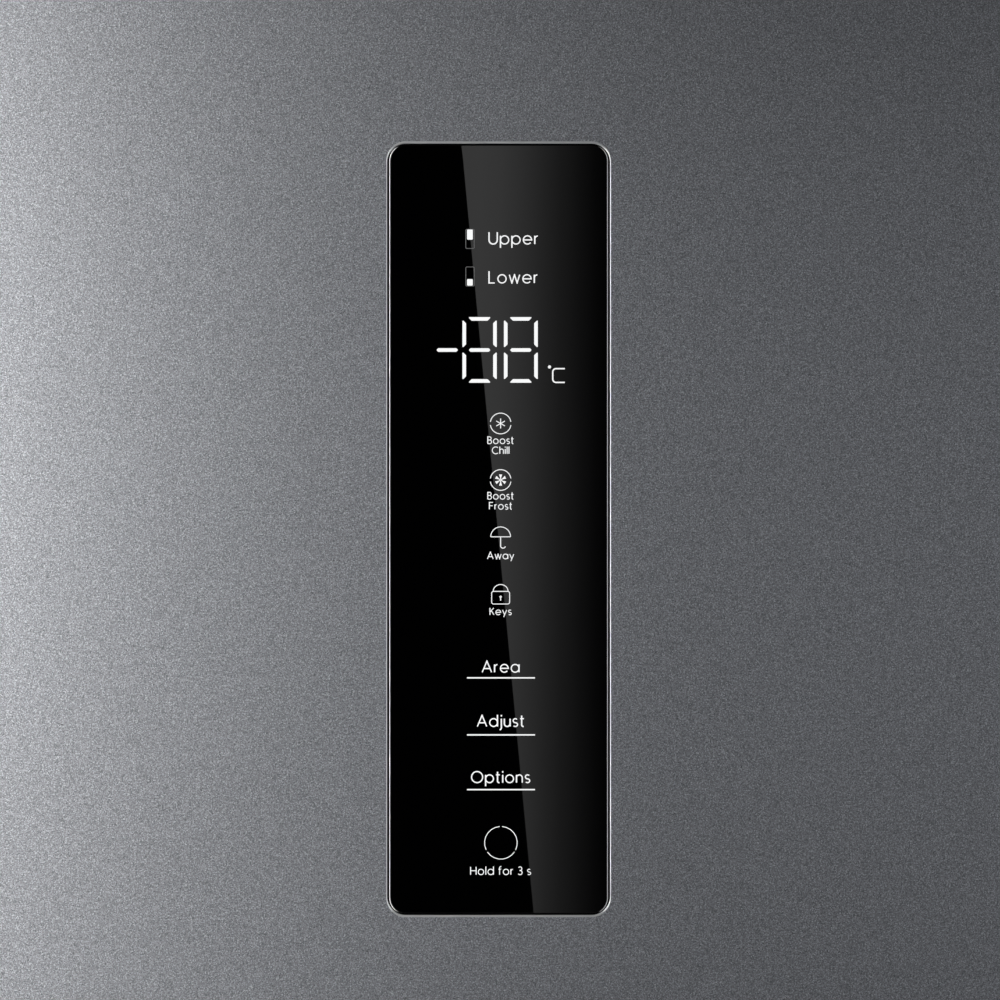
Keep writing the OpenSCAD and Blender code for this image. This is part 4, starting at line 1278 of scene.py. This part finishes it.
@dataclass
class Rim:
    """The bright double rim round the display's glass. Sizes are millimetres.

    Attributes:
        centre: Centre of the glass, in metres.
    """

    centre: Vector
    # Outer lip, inner lip and seam, the outer lip's width at top and bottom, its dip and edge radius
    lip_outer: float = 0.2
    lip_inner: float = 0.18
    lip_seam: float = 0.13
    lip_ends: float = 0.58
    lip_dish: float = 0.034
    lip_edge: float = 0.06
    # Depth of the groove, then the rim's width, corner radius, steps round a corner and depth
    groove_depth: float = 0.35
    width: float = 1.1
    corner_r: float = 5.1
    corner_steps: int = 16
    depth: float = 1.4

    def build(self) -> None:
        """Builds the rim from one plate: an outer lip that dips inwards, a groove and a flat inner lip."""
        low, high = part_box("display_bezel")
        size = high - low
        piece = Bench.begin(bpy.ops.mesh.primitive_plane_add, size=1.0, rotation=(math.pi / 2, 0, 0))
        piece.scale = (size.x, size.z, 1.0)
        Bench.settle(piece)
        piece.location = (self.centre.x, low.y, self.centre.z)
        Bench.settle(piece)
        groove = self.width - self.lip_outer - self.lip_inner - self.lip_seam
        steps = ((self.lip_outer, 1), (groove, 2), (self.lip_inner, 3), (self.lip_seam, 0))
        with Bench.edit(piece):
            bpy.ops.mesh.select_all(action="SELECT")
            Bench.bevel(self.corner_r, self.corner_steps, "VERTICES")
            for step, index in steps:
                bpy.ops.mesh.inset(thickness=step * MM, depth=0.0, use_even_offset=True)
                self.mark(piece, index)
            bpy.ops.mesh.delete(type="FACE")

        def on_lip(edge: Edge) -> bool:
            """Says whether an edge runs along the inside of the outer lip."""
            lip = self.lip_outer * MM
            return all(abs(self.inset_at(v.co, size) - lip) < 2 * SAME for v in edge.verts)

        with Bench.edit(piece):
            Bench.pick_edges(piece, on_lip)
            half = size.z / 2 - self.lip_outer * MM
            narrower = (half - (self.lip_ends - self.lip_outer) * MM) / half
            bpy.ops.transform.resize(value=(1.0, 1.0, narrower), center_override=self.centre)
            bpy.ops.transform.translate(value=(0, self.lip_dish * MM, 0))
            Bench.pick_faces(piece, lambda f: f.material_index == 1)
            down = {"value": (0, self.groove_depth * MM, 0)}
            bpy.ops.mesh.extrude_region_move(TRANSFORM_OT_translate=down)
        Bench.modify(piece, "SOLIDIFY", thickness=self.depth * MM, offset=-1.0)
        Bench.round_edges(piece, self.lip_edge, 2, 50.0)
        Bench.join([piece], "display_rim")
        # The lips' finishes paint shade at the top and bottom: the outer lip darker, the inner lip black.
        wears = ("bezel_metal", "rim_groove", "rim_line_shaded_ends", "rim_groove")
        Bench.hand_over(piece, "fridge_door", "bezel_metal", "display_bezel", wears=wears, smooth=50.0)

    @staticmethod
    def mark(piece: Piece, index: int) -> None:
        """Gives the selected faces the material of that index.

        Args:
            piece: The piece, in edit mode.
            index: Index of the material.
        """
        mesh = bmesh.from_edit_mesh(piece.data)
        for face in mesh.faces:
            if face.select:
                face.material_index = index
        bmesh.update_edit_mesh(piece.data)

    def inset_at(self, point: Vector, size: Vector) -> float:
        """Returns how far inside the outer edge a point lies, in metres.

        Args:
            point: The point.
            size: The rim's outer size in metres.

        Returns:
            The distance.
        """
        c = point - self.centre
        dx, dz = size.x / 2 - abs(c.x), size.z / 2 - abs(c.z)
        r = self.corner_r * MM
        if dx < r and dz < r:
            return r - math.hypot(r - dx, r - dz)
        return min(dx, dz)


@dataclass
class Display:
    """The touch display with its legends. Sizes are millimetres from the legends' centre."""

    # How far the glass is sunk and the legends stand up on it, their shift on it, and their middle line
    sunk: float = 0.03
    proud: float = 0.02
    print_shift: Point = (0.1, 0.08)
    middle: float = 0.43
    # Height of the capitals of each kind of words, with the words, their base lines and their underlines
    heading: float = 3.08
    heading_left: float = -2.6
    heading_rows: tuple[tuple[str, float], ...] = (("Upper", 74.46), ("Lower", 64.29))
    key: float = 2.9
    key_rows: tuple[tuple[str, float, float], ...] = (
        ("Area", -37.42, -38.9), ("Adjust", -51.6, -53.8), ("Options", -66.28, -68.1),
    )
    rule_left: float = -8.36
    rule_right: float = 9.41
    note: float = 1.8
    note_rows: tuple[tuple[str, float], ...] = (
        ("Boost", 22.29), ("Chill", 19.65), ("Boost", 7.78), ("Frost", 5.15),
        ("Away", -7.82), ("Keys", -22.42),
    )
    hint: float = 2.05
    hint_row: tuple[str, float] = ("Hold for 3 s", -90.33)
    # The touch ring, with half of each gap in degrees
    ring_at: Point = (0.5, -82.0)
    ring_r: float = 4.27
    ring_gap: float = 4.3
    # The letter after the degree mark: left and right end, top and bottom, corner radius
    unit_x: Point = (14.9, 17.2)
    unit_z: Point = (41.9, 38.3)
    unit_r: float = 0.85
    # Frames of the compartment marks: place, heights, half width, half height and corner radius
    frame_x: float = -7.57
    frame_z: Point = (75.8, 65.98)
    frame_size: tuple[float, float, float] = (1.1, 2.5, 0.3)
    centre: Vector = field(default_factory=Vector)
    print_centre: Vector = field(default_factory=Vector)

    def build(self) -> None:
        """Builds the glass, the rim and every legend."""
        low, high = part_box("display_glass")
        self.centre = Vector(((low.x + high.x) / 2, low.y + self.sunk * MM, (low.z + high.z) / 2))
        self.print_centre = self.centre + Vector((self.print_shift[0] * MM, 0.0, self.print_shift[1] * MM))
        self.pane()
        Rim(self.centre).build()
        for name, weight, strokes in self.legends(Lettering()):
            self.mount(self.line_work(name, weight.value, strokes), "legend")
        self.mount(self.line_work("legend_frames", Weight.FAINT.value, self.frames()), "legend_dim")
        self.mount(Digits(self.print_centre, self.proud).build(), "legend")

    def mount(self, piece: Piece, finish: str) -> None:
        """Mounts a legend on the door."""
        Bench.hand_over(piece, "fridge_door", "display_glass", wears=(finish,))

    def pane(self) -> None:
        """Rounds the glass's edges and sinks its face by the height of the legends."""

        def sink(piece: Piece) -> None:
            """Moves the front face back.

            Args:
                piece: The glass.
            """
            with Bench.edit(piece):
                Bench.pick_faces(piece, lambda f: f.normal.y < -ALONG)
                bpy.ops.transform.translate(value=(0, self.sunk * MM, 0))

        Casting("display_glass", 0.08).build(sink)

    def legends(self, letters: Lettering) -> list[tuple[str, Weight, list[Stroke]]]:
        """Returns each group of legends with its weight and strokes.

        Args:
            letters: The alphabet.

        Returns:
            Name, weight and strokes of each group.
        """
        m = self.middle
        headings, keys, rules, notes = [], [], [], []
        for words, base in self.heading_rows:
            headings += letters.words(words, self.heading_left, base, self.heading)
        for words, base, rule in self.key_rows:
            keys += letters.centred(words, m, base, self.key)
            rules.append([(self.rule_left, rule), (self.rule_right, rule)])
        for words, base in self.note_rows:
            notes += letters.centred(words, m, base, self.note)
        hint = letters.centred(self.hint_row[0], m, self.hint_row[1], self.hint)
        return [
            ("legend_headings", Weight.TEXT, headings),
            ("legend_keys", Weight.TEXT, keys),
            ("legend_rules", Weight.RULE, rules),
            ("legend_notes", Weight.SMALL, notes),
            ("legend_hint", Weight.SMALL, hint),
            ("legend_unit", Weight.RULE, [self.unit()]),
            ("legend_icons", Weight.SMALL, Pictograms(m).strokes()),
            ("legend_ring", Weight.HAIR, split_ring(self.ring_at, self.ring_r, 3, 90, self.ring_gap)),
        ]

    def unit(self) -> Stroke:
        """Returns the letter after the degree mark, with round corners at its left.

        Returns:
            Its one stroke.
        """
        (left, right), (top, low), r = self.unit_x, self.unit_z, self.unit_r
        upper = [(right, top), *arc(left, top - r, r, r, 90, 180)]
        return [*upper, *arc(left, low + r, r, r, 180, 270), (right, low)]

    def frames(self) -> list[Stroke]:
        """Returns the faint outlines of the two compartment marks."""
        return [moved(rounded(*self.frame_size), self.frame_x, z) for z in self.frame_z]

    def line_work(self, name: str, width: float, strokes: Sequence[Stroke]) -> Piece:
        """Draws strokes on the glass.

        Args:
            name: Name of the piece.
            width: Stroke width in millimetres.
            strokes: Lines of points from the legends' centre, in millimetres.

        Returns:
            The strokes as one mesh.
        """
        curve = bpy.data.curves.new(name, "CURVE")
        curve.dimensions = "3D"
        curve.bevel_depth = width / 2 * MM
        curve.bevel_resolution = 1
        curve.use_fill_caps = True
        for stroke in strokes:
            closed = len(stroke) > 2 and math.dist(stroke[0], stroke[-1]) < NEAR
            points = stroke[:1] + [b for a, b in zip(stroke, stroke[1:]) if math.dist(a, b) > NEAR]
            for part in [points[:-1]] if closed else at_corners(points, width / 2):
                Bench.draw(curve, [(x * MM, 0.0, z * MM) for x, z in part], closed)
        piece = Bench.place(name, curve)
        Bench.only(piece)
        bpy.ops.object.convert(target="MESH")
        piece.scale.y = self.proud / (width / 2)
        piece.location = self.print_centre
        Bench.settle(piece)
        Bench.face_out(piece)
        return piece

@dataclass
class DoorSeal:
    """Bellows seal of one door: a foot in the door, a fold and the magnet's pocket. Sizes are millimetres.

    Attributes:
        node: The CAD node.
        width: Width of the seal.
        corner_r: Corner radius of its middle line.
        half_profile: Points of its right half, across and out of the door.
    """

    node: str
    width: float = 15.0
    corner_r: float = 9.0
    half_profile: tuple[Point, ...] = (
        (6.6, 0.0), (6.6, 1.3), (4.6, 1.9), (5.6, 3.0), (6.6, 4.1), (6.0, 5.2), (4.4, 6.2), (4.6, 7.2),
        (7.2, 7.6), (7.5, 8.2), (7.5, 10.8), (7.2, 11.4), (6.6, 11.7),
    )

    def build(self) -> None:
        """Sweeps the profile round the door."""
        low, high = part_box(self.node)
        half_x = (high.x - low.x - self.width * MM) / 2
        half_z = (high.z - low.z - self.width * MM) / 2
        depth = (high.y - low.y) / (self.half_profile[-1][1] * MM)
        right = [(u, -t * depth) for u, t in self.half_profile]
        whole = right + [(-u, t) for u, t in reversed(right)]
        section = self.loop("seal_section", [(u * MM, t * MM) for u, t in whole])
        path = self.loop(f"{self.node}_profile", rounded(half_x, half_z, self.corner_r * MM)[:-1])
        path.data.bevel_mode = "OBJECT"
        path.data.bevel_object = section
        Bench.only(path)
        bpy.ops.object.convert(target="MESH")
        bpy.data.objects.remove(section)
        path.rotation_euler = (math.pi / 2, 0, 0)
        path.location = ((low.x + high.x) / 2, low.y, (low.z + high.z) / 2)
        Bench.settle(path)
        Bench.face_out(path)
        Bench.hand_over(path, BODY_OF[self.node], "seal_rubber", self.node, smooth=60.0)

    @staticmethod
    def loop(name: str, points: Sequence[Point]) -> Piece:
        """Returns a closed flat curve through points, in metres.

        Args:
            name: Name of the curve.
            points: Its points in metres.

        Returns:
            The curve.
        """
        curve = bpy.data.curves.new(name, "CURVE")
        curve.dimensions = "2D"
        curve.fill_mode = "NONE"
        Bench.draw(curve, [(x, y, 0.0) for x, y in points], True)
        return Bench.place(name, curve)


class Facing(Enum):
    """The way a screw's head faces, as its turn about X from up."""

    UP = 0.0
    FRONT = math.pi / 2
    BACK = -math.pi / 2


@dataclass(frozen=True)
class Screw:
    """A pan-head screw with a cross recess, modelled once with its head up along Z. Sizes are millimetres."""

    # Radius and height of the head, width, length and depth of the cross, radius and length of the shank
    head_r: float = 5.0
    head_h: float = 2.5
    slot_w: float = 1.3
    slot_l: float = 5.4
    slot_d: float = 1.4
    shank_r: float = 2.5
    shank_l: float = 4.0
    # Share of the head's height that is rounded
    crown: float = 0.55

    def model(self) -> Piece:
        """Returns the screw with the underside of its head at the origin.

        Returns:
            The screw.
        """
        cylinder = bpy.ops.mesh.primitive_cylinder_add
        head = Bench.begin(cylinder, vertices=32, radius=self.head_r * MM, depth=self.head_h * MM)
        head.location.z = self.head_h / 2 * MM
        Bench.settle(head)
        with Bench.edit(head):
            Bench.pick_edges(head, lambda e: all(v.co.z > self.head_h * MM - SAME for v in e.verts))
            Bench.bevel(self.head_h * self.crown, 5)
            Bench.pick_faces(head, lambda f: f.normal.z < -ALONG)
            bpy.ops.mesh.inset(thickness=(self.head_r - self.shank_r) * MM, depth=0.0)
            bpy.ops.mesh.extrude_region_move(TRANSFORM_OT_translate={"value": (0, 0, -self.shank_l * MM)})
        for turn in (0.0, math.pi / 2):
            blade = Bench.begin(bpy.ops.mesh.primitive_cube_add, size=1.0)
            blade.location.z = self.head_h * MM
            blade.rotation_euler.z = turn
            blade.scale = (self.slot_l * MM, self.slot_w * MM, 2 * self.slot_d * MM)
            Bench.settle(blade)
            Bench.modify(head, "BOOLEAN", operation="DIFFERENCE", object=blade, solver="EXACT")
            bpy.data.objects.remove(blade)
        return head

    def drive(self, name: str, seats: Sequence[tuple[Vector, Facing]], *replaced: str) -> None:
        """Puts a copy at each seat and mounts them on the cabinet as one piece.

        Args:
            name: Name of the joined screws.
            seats: For each screw, the point under its head and the way its head faces.
            replaced: The CAD nodes that they stand for.
        """
        model = self.model()
        copies = []
        for i, (seat, facing) in enumerate(seats):
            copy = Bench.place(f"{name}_{i}", model.data.copy())
            copy.rotation_euler = (facing.value, 0, 0)
            Bench.settle(copy)
            copy.location = seat
            Bench.settle(copy)
            copies.append(copy)
        bpy.data.objects.remove(model)
        Bench.hand_over(Bench.join(copies, name), "cabinet", "screw_steel", *replaced, smooth=30.0)


@dataclass
class Hinges(Assembly):
    """Hinge brackets, their screws and the covers on the cabinet's top.

    Attributes:
        screw: The screw.
        flat: How much wider than high an upright screw of the CAD is at least, in millimetres.
    """

    castings: tuple[Casting, ...] = (
        Casting("top_hinge", 0.6), Casting("middle_hinge", 0.7), Casting("bottom_hinge", 0.7),
        Casting("hinge_covers", 0.9, 3),
    )
    screw: Screw = Screw()
    flat: float = 1.5

    def build(self) -> None:
        """Builds the brackets and covers, then drives the screws where the CAD has them."""
        super().build()
        self.screw.drive("hinge_screws_finished", self.seats(), "hinge_screws")

    def seats(self) -> list[tuple[Vector, Facing]]:
        """Returns where each screw of the CAD node sits and the way its head faces.

        Returns:
            The point under each head and the way that the head faces.
        """
        copy = Casting("hinge_screws").copy()
        with Bench.edit(copy):
            bpy.ops.mesh.separate(type="LOOSE")
        found = []
        head = self.screw.head_h * MM
        for piece in list(bpy.context.selected_objects):
            low = Vector([min(v.co[i] for v in piece.data.vertices) for i in range(3)])
            high = Vector([max(v.co[i] for v in piece.data.vertices) for i in range(3)])
            mid, size = (low + high) / 2, high - low
            if abs(size.x - size.y) < 5 * SAME or size.z < size.x - self.flat * MM:
                found.append((Vector((mid.x, mid.y, high.z - head)), Facing.UP))
            else:
                found.append((Vector((mid.x, low.y + head, mid.z)), Facing.FRONT))
            bpy.data.objects.remove(piece)
        return found


@dataclass
class Doors:
    """Both doors: steel skins, end caps, liners, foam and seals. Sizes are millimetres.

    Attributes:
        cap_edge: Edge radius of the end caps.
        ridge_edge: Edge radius of the liner's foremost edges.
        ledge_edge: Edge radius of the narrow ledges behind them.
        rise: Least height of a ridge.
        wall: The liner's wall.
    """

    cap_edge: float = 0.5
    ridge_edge: float = 3.0
    ledge_edge: float = 1.2
    rise: float = 8.0
    wall: float = 1.5

    def build(self) -> None:
        """Builds and dresses each door's pieces."""
        for door in ("fridge_door", "freezer_door"):
            Wardrobe.dress(f"{door}_skin", f"{door}_foam")
            Casting(f"{door}_caps", self.cap_edge, 3).build()
            Casting(f"{door}_liner", 0.0).build(self.soften_ridges)
            DoorSeal(f"{door}_gasket").build()
        Wardrobe.dress("display_board")

    def soften_ridges(self, piece: Piece) -> None:
        """Rounds the front edges of the liner's ridges and dykes, on their outer side.

        A narrow ledge runs between a ridge's edge and the foot of its dyke, and gets a smaller radius.

        Args:
            piece: The liner.
        """
        depths = sorted({round(v.co.y, 5) for v in piece.data.vertices})
        fronts = [y for y in depths if y > depths[0] + self.rise * MM]
        outer = [y for y in fronts if any(abs(y - self.wall * MM - inner) < SAME for inner in fronts)]

        def sharp_at(edge: Edge, plane: float) -> bool:
            """Says whether an edge is a sharp one in a front plane, whose depth is in metres."""
            level = all(abs(v.co.y - plane) < SAME for v in edge.verts)
            return level and edge.calc_face_angle_signed() > SHARP

        with Bench.edit(piece):
            for plane in outer:
                Bench.pick_edges(piece, lambda edge, plane=plane: sharp_at(edge, plane))
                Bench.bevel(self.ridge_edge if plane == outer[-1] else self.ledge_edge, 4)


@dataclass
class DoorStorage(Assembly):
    """Bins in the fridge door and the flap over the dairy bin."""

    castings: tuple[Casting, ...] = (
        Casting("door_bins", 0.8, 3), Casting("dairy_bin", 0.8, 3), Casting("dairy_lid", 0.7, 3),
    )


@dataclass
class Cabinet(Assembly):
    """Outer wrap, back, liners and what is fixed to the back. Sizes are millimetres.

    Attributes:
        back_edge: Radius between the fridge liner's walls and its back.
        wall: The liner's wall.
        screw_inset: Distance of the rear screws from the cover's top and bottom.
        screw_shares: Their places across the cover, as shares of its width.
        screw: The rear screw.
    """

    castings: tuple[Casting, ...] = (
        Casting("cabinet_shell", 0.5), Casting("back_panel", 0.8), Casting("wall_spacers", 1.5, 3),
        Casting("mains_inlet", 0.4), Casting("rear_cover", 0.3, 1), Casting("centre_rail", 0.3, 1),
    )
    back_edge: float = 8.0
    wall: float = 2.0
    screw_inset: float = 8.0
    screw_shares: tuple[float, ...] = (0.03, 0.27, 0.5, 0.73, 0.97)
    screw: Screw = Screw(3.6, 1.7, 0.9, 3.8, 0.9, 1.8, 1.0)

    def build(self) -> None:
        """Builds the cabinet and drives the rear screws."""
        super().build()
        Wardrobe.dress("cabinet_foam")
        Casting("fridge_liner", 0.0).build(self.round_back)
        Casting("freezer_liner", 0.0).build()
        self.rear_screws()

    def round_back(self, piece: Piece) -> None:
        """Rounds the inner edge between the liner's walls and its back.

        Args:
            piece: The liner.
        """
        back = max(v.co.y for v in piece.data.vertices) - self.wall * MM

        def at_back(edge: Edge) -> bool:
            """Says whether an edge is a sharp one on the inside of the back."""
            return all(abs(v.co.y - back) < SAME for v in edge.verts) and edge.calc_face_angle() > SHARP

        with Bench.edit(piece):
            Bench.pick_edges(piece, at_back)
            Bench.bevel(self.back_edge, 5)

    def rear_screws(self) -> None:
        """Drives the screws that hold the rear cover, along its top and bottom edges."""
        low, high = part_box("rear_cover")
        inset = self.screw_inset * MM
        seats = []
        for z in (low.z + inset, high.z - inset):
            for share in self.screw_shares:
                seats.append((Vector((low.x + share * (high.x - low.x), high.y, z)), Facing.BACK))
        self.screw.drive("rear_cover_screws", seats)


@dataclass
class Base(Assembly):
    """Machine tray, plinth, feet and rollers."""

    castings: tuple[Casting, ...] = (
        Casting("base_frame", 0.0), Casting("plinth_grille", 0.5), Casting("foot_left", 0.8, 3),
        Casting("foot_right", 0.8, 3), Casting("roller_left", 1.0, 3), Casting("roller_right", 1.0, 3),
    )


@dataclass
class MachineRoom(Assembly):
    """Compressor with its mounts, pipes, box and drip tray."""

    castings: tuple[Casting, ...] = (
        Casting("compressor", 1.5, 3, 24.0), Casting("compressor_mounts", 0.8),
        Casting("inverter_box", 1.5, 3), Casting("refrigerant_pipes", 0.0), Casting("drip_tray", 0.7),
    )


@dataclass
class FridgeInside(Assembly):
    """Shelves, drawers, duct and lamp of the fridge compartment."""

    castings: tuple[Casting, ...] = (
        Casting("shelf_upper", 0.5), Casting("shelf_middle", 0.5), Casting("shelf_lower", 0.5),
        Casting("crisper_cover", 0.5), Casting("shelf_trims", 0.9, 3), Casting("humidity_slider", 0.5),
        Casting("air_duct_cover", 0.9, 3), Casting("ceiling_lamp", 1.2, 3),
        Casting("chill_drawer", 1.0, 3), Casting("crisper_left", 1.0, 3), Casting("crisper_right", 1.0, 3),
    )


@dataclass
class FreezerInside(Assembly):
    """Shelves, drawers, coil and fan of the freezer compartment."""

    castings: tuple[Casting, ...] = (
        Casting("freezer_shelves", 0.5), Casting("evaporator_cover", 0.7), Casting("evaporator", 0.0),
        Casting("fan_motor", 1.0, 3), Casting("evaporator_fan", 0.4), Casting("freezer_drawer_top", 1.0, 3),
        Casting("freezer_drawer_middle", 1.0, 3), Casting("freezer_drawer_bottom", 1.0, 3),
    )


def oblong(left: float, right: float, low: float, top: float) -> tuple[Point, ...]:
    """Returns the corners of an upright rectangle."""
    return (left, low), (right, low), (right, top), (left, top)


def even(level: float) -> tuple[Point, ...]:
    """Returns the stops of a card that is equally bright all over."""
    return (0.0, level), (1.0, level)


class Along(Enum):
    """The axis along which a card's brightness changes, as its place in a point."""

    X = 0
    Z = 2


@dataclass(frozen=True)
class Card:
    """A flat reflector that only gloss sees, square to the camera's axis. Lengths are metres.

    Attributes:
        name: Name of the card.
        gap: Distance from the display's glass.
        corners: Its corners across and up from the middle of the glass.
        stops: Its brightness along one axis, from one edge to the other.
        power: Factor on its brightness.
        along: The axis.
        tint: Colour of its light.
    """

    name: str
    gap: float
    corners: tuple[Point, ...]
    stops: tuple[Point, ...]
    power: float = 1.0
    along: Along = Along.X
    tint: Colour = WHITE

    def build(self, centre: Vector) -> None:
        """Stands the card up before the glass's middle.

        Args:
            centre: Middle of the display's glass.
        """
        points = [(centre.x + x, centre.y - self.gap, centre.z + z) for x, z in self.corners]
        mesh = bpy.data.meshes.new(self.name)
        mesh.from_pydata(points, [], [tuple(range(len(points)))])
        piece = Bench.place(self.name, mesh)
        g = Graph(self.name)
        reach = [point[self.along.value] for point in points]
        across = g.spread(g.axis(self.along.name), (min(reach), max(reach)))
        stops = [(place, lit(self.tint, level * self.power)) for place, level in self.stops]
        g.paint(across, stops, "Emission Color")
        g.fix(Base_Color=(0, 0, 0, 1), Emission_Strength=1.0, Specular_IOR_Level=0.0)
        piece.data.materials.append(g.material)
        piece.visible_camera = piece.visible_diffuse = piece.visible_shadow = False
        piece.visible_transmission = piece.visible_volume_scatter = False


@dataclass(frozen=True)
class Lamp:
    """A soft box that neither the camera nor gloss sees. Lengths are metres.

    Attributes:
        name: The lamp's name.
        place: Where it stands.
        aim: Height of the point that it faces, on the line X = 0, Y = 0.
        size: Its width and height.
        power: Watts.
    """

    name: str
    place: tuple[float, float, float]
    aim: float
    size: Point
    power: float

    def build(self) -> None:
        """Hangs the lamp up."""
        light = bpy.data.lights.new(self.name, "AREA")
        light.shape = "RECTANGLE"
        light.size, light.size_y = self.size
        light.energy = self.power
        piece = Bench.place(self.name, light)
        piece.location = self.place
        way = Vector((0.0, 0.0, self.aim)) - Vector(self.place)
        piece.rotation_euler = way.to_track_quat("-Z", "Y").to_euler()
        piece.visible_camera = piece.visible_glossy = False


@dataclass
class Studio:
    """Floor, world, lamps, cards and camera. Lengths are metres, places in the picture are its pixels.

    Attributes:
        distance: From the camera to the display's glass.
        pixel: Width of a pixel on the glass.
        picture: Pixels across and up the picture.
        glass_at: Column and row of the glass's middle.
        middle: Column and row of the picture's middle.
        sensor: Width of the camera's sensor in millimetres.
        gloss: Share of the light that the glass throws back.
        card_gap: Distance of the lit card from the glass.
        patch_left: Columns of the lit patch's lower and upper left corner.
        patch_right: Column of its right edge.
        patch_rows: Rows of its bottom and top.
        patch_levels: Columns across the patch and their display levels.
        backing: The cards behind the lit one.
        strip: The card that lights the steel.
        lamps: The lamps.
        ambient: Strength of the world where only matt surfaces see it.
        floor_size: Length and width of the floor.
        centre: Middle of the glass.
    """

    distance: float = 0.9
    pixel: float = 0.0002613
    picture: int = 1000
    glass_at: Point = (498.6, 529.3)
    middle: float = 500.0
    sensor: float = 36.0
    gloss: float = 0.04
    card_gap: float = 1.8
    patch_left: Point = (535.3, 460)
    patch_right: float = 612
    patch_rows: Point = (930, 130)
    patch_levels: tuple[Point, ...] = (
        (480, 54), (500, 51), (520, 44), (545, 32), (560, 24), (580, 14), (595, 6), (606, 2),
    )
    backing: tuple[Card, ...] = (
        Card("dark_card", 1.82, oblong(-0.14, 0.14, -1.68, 1.2), even(0.0)),
        Card("left_card", 1.82, oblong(-0.25, -0.14, -0.7, 0.5), even(1.55)),
        Card("right_card", 1.82, oblong(0.14, 1.4, -0.532, 0.38), even(0.43)),
        Card("night", 1.84, oblong(-0.9, 2.4, -2.0, 2.0), even(0.0)),
    )
    strip: Card = Card(
        "steel_strip", 0.9, oblong(-0.43, -0.33, -1.35, 0.6),
        ((0.0, 0.35), (0.45, 0.42), (0.56, 0.6), (0.66, 0.9), (0.72, 1.0), (0.79, 0.9), (0.86, 0.66),
         (1.0, 0.4)),
        12.8, Along.Z, (1.03, 1.0, 0.95),
    )
    lamps: tuple[Lamp, ...] = (
        Lamp("key", (-1.6, -2.6, 2.2), 0.95, (1.6, 1.6), 34.0),
        Lamp("fill", (1.9, -2.2, 1.2), 0.95, (1.6, 2.0), 14.0),
        Lamp("top", (0.0, -0.4, 3.8), 0.9, (2.4, 2.4), 38.0),
        Lamp("rear", (-0.8, 3.0, 2.4), 0.95, (1.8, 1.8), 30.0),
    )
    ambient: float = 0.62
    floor_size: float = 60.0
    centre: Vector = field(default_factory=Vector)

    def build(self) -> None:
        """Builds the studio round the display."""
        low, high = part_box("display_glass")
        self.centre = Vector(((low.x + high.x) / 2, low.y, (low.z + high.z) / 2))
        self.floor()
        self.world()
        for lamp in self.lamps:
            lamp.build()
        for card in (*self.backing, self.lit_card(), self.strip):
            card.build(self.centre)
        self.camera()

    def on_glass(self, x: float, y: float) -> Point:
        """Returns metres right of and above the glass's middle for a pixel of the picture."""
        return (x - self.glass_at[0]) * self.pixel, (self.glass_at[1] - y) * self.pixel

    def seen(self, x: float, y: float) -> Point:
        """Returns where on the lit card's plane the glass shows at a pixel.

        Args:
            x: Column of the picture.
            y: Row of the picture.

        Returns:
            Metres right of and above the glass's middle.
        """
        reach = self.card_gap / self.distance
        eye, here = self.on_glass(self.middle, self.middle), self.on_glass(x, y)
        return tuple(h + (h - e) * reach for h, e in zip(here, eye))

    def lit_card(self) -> Card:
        """Returns the card that the glass shows as a soft patch of light, brightest at its left.

        Returns:
            The card.
        """
        (low_left, top_left), right, (low, top) = self.patch_left, self.patch_right, self.patch_rows
        pixels = ((low_left, low), (right, low), (right, top), (top_left, top))
        corners = tuple(self.seen(*pixel) for pixel in pixels)
        start, end = corners[3][0], corners[1][0]
        stops = tuple(
            ((self.seen(x, self.middle)[0] - start) / (end - start), linear(level) / self.gloss)
            for x, level in self.patch_levels
        )
        return Card("lit_card", self.card_gap, corners, stops)

    def floor(self) -> None:
        """Lays the pale floor."""
        piece = Bench.begin(bpy.ops.mesh.primitive_plane_add, size=self.floor_size)
        piece.name = "floor"
        piece.data.materials.append(FLOOR.make("floor"))

    def world(self) -> None:
        """Makes the background white for the eye, gloss and glass, and a soft light for the rest."""
        world = bpy.data.worlds.new("studio")
        bpy.context.scene.world = world
        world.use_nodes = True
        tree = world.node_tree
        tree.nodes.clear()
        kinds = ("Background", "OutputWorld", "LightPath", "MapRange")
        back, out, path, level = (tree.nodes.new(f"ShaderNode{kind}") for kind in kinds)
        shown = path.outputs["Is Camera Ray"]
        for ray in ("Glossy", "Transmission"):
            either = tree.nodes.new("ShaderNodeMath")
            either.operation = "MAXIMUM"
            tree.links.new(shown, either.inputs[0])
            tree.links.new(path.outputs[f"Is {ray} Ray"], either.inputs[1])
            shown = either.outputs[0]
        tree.links.new(shown, level.inputs["Value"])
        level.inputs["To Min"].default_value = self.ambient
        level.inputs["To Max"].default_value = 1.0
        tree.links.new(level.outputs["Result"], back.inputs["Strength"])
        back.inputs["Color"].default_value = (1.0, 1.0, 1.0, 1.0)
        tree.links.new(back.outputs[0], out.inputs["Surface"])

    def camera(self) -> None:
        """Adds the camera, square on to the display."""
        lens = bpy.data.cameras.new("camera")
        lens.sensor_width = self.sensor
        lens.lens = self.sensor * self.distance / (self.picture * self.pixel)
        lens.clip_start = 0.01
        piece = Bench.place("camera", lens)
        x, z = self.on_glass(self.middle, self.middle)
        piece.location = self.centre + Vector((x, -self.distance, z))
        piece.rotation_euler = (math.pi / 2, 0, 0)
        bpy.context.scene.camera = piece


def main() -> None:
    """Builds every sub-assembly and the studio."""
    logging.basicConfig(level=logging.INFO, format="%(message)s")
    bpy.context.scene.view_settings.view_transform = "Standard"
    assemblies = (
        Cabinet(), Base(), MachineRoom(), Hinges(), FridgeInside(), FreezerInside(), Doors(), DoorStorage(),
        Display(),
    )
    for assembly in assemblies:
        assembly.build()
    Studio().build()


if __name__ == "__main__":
    main()
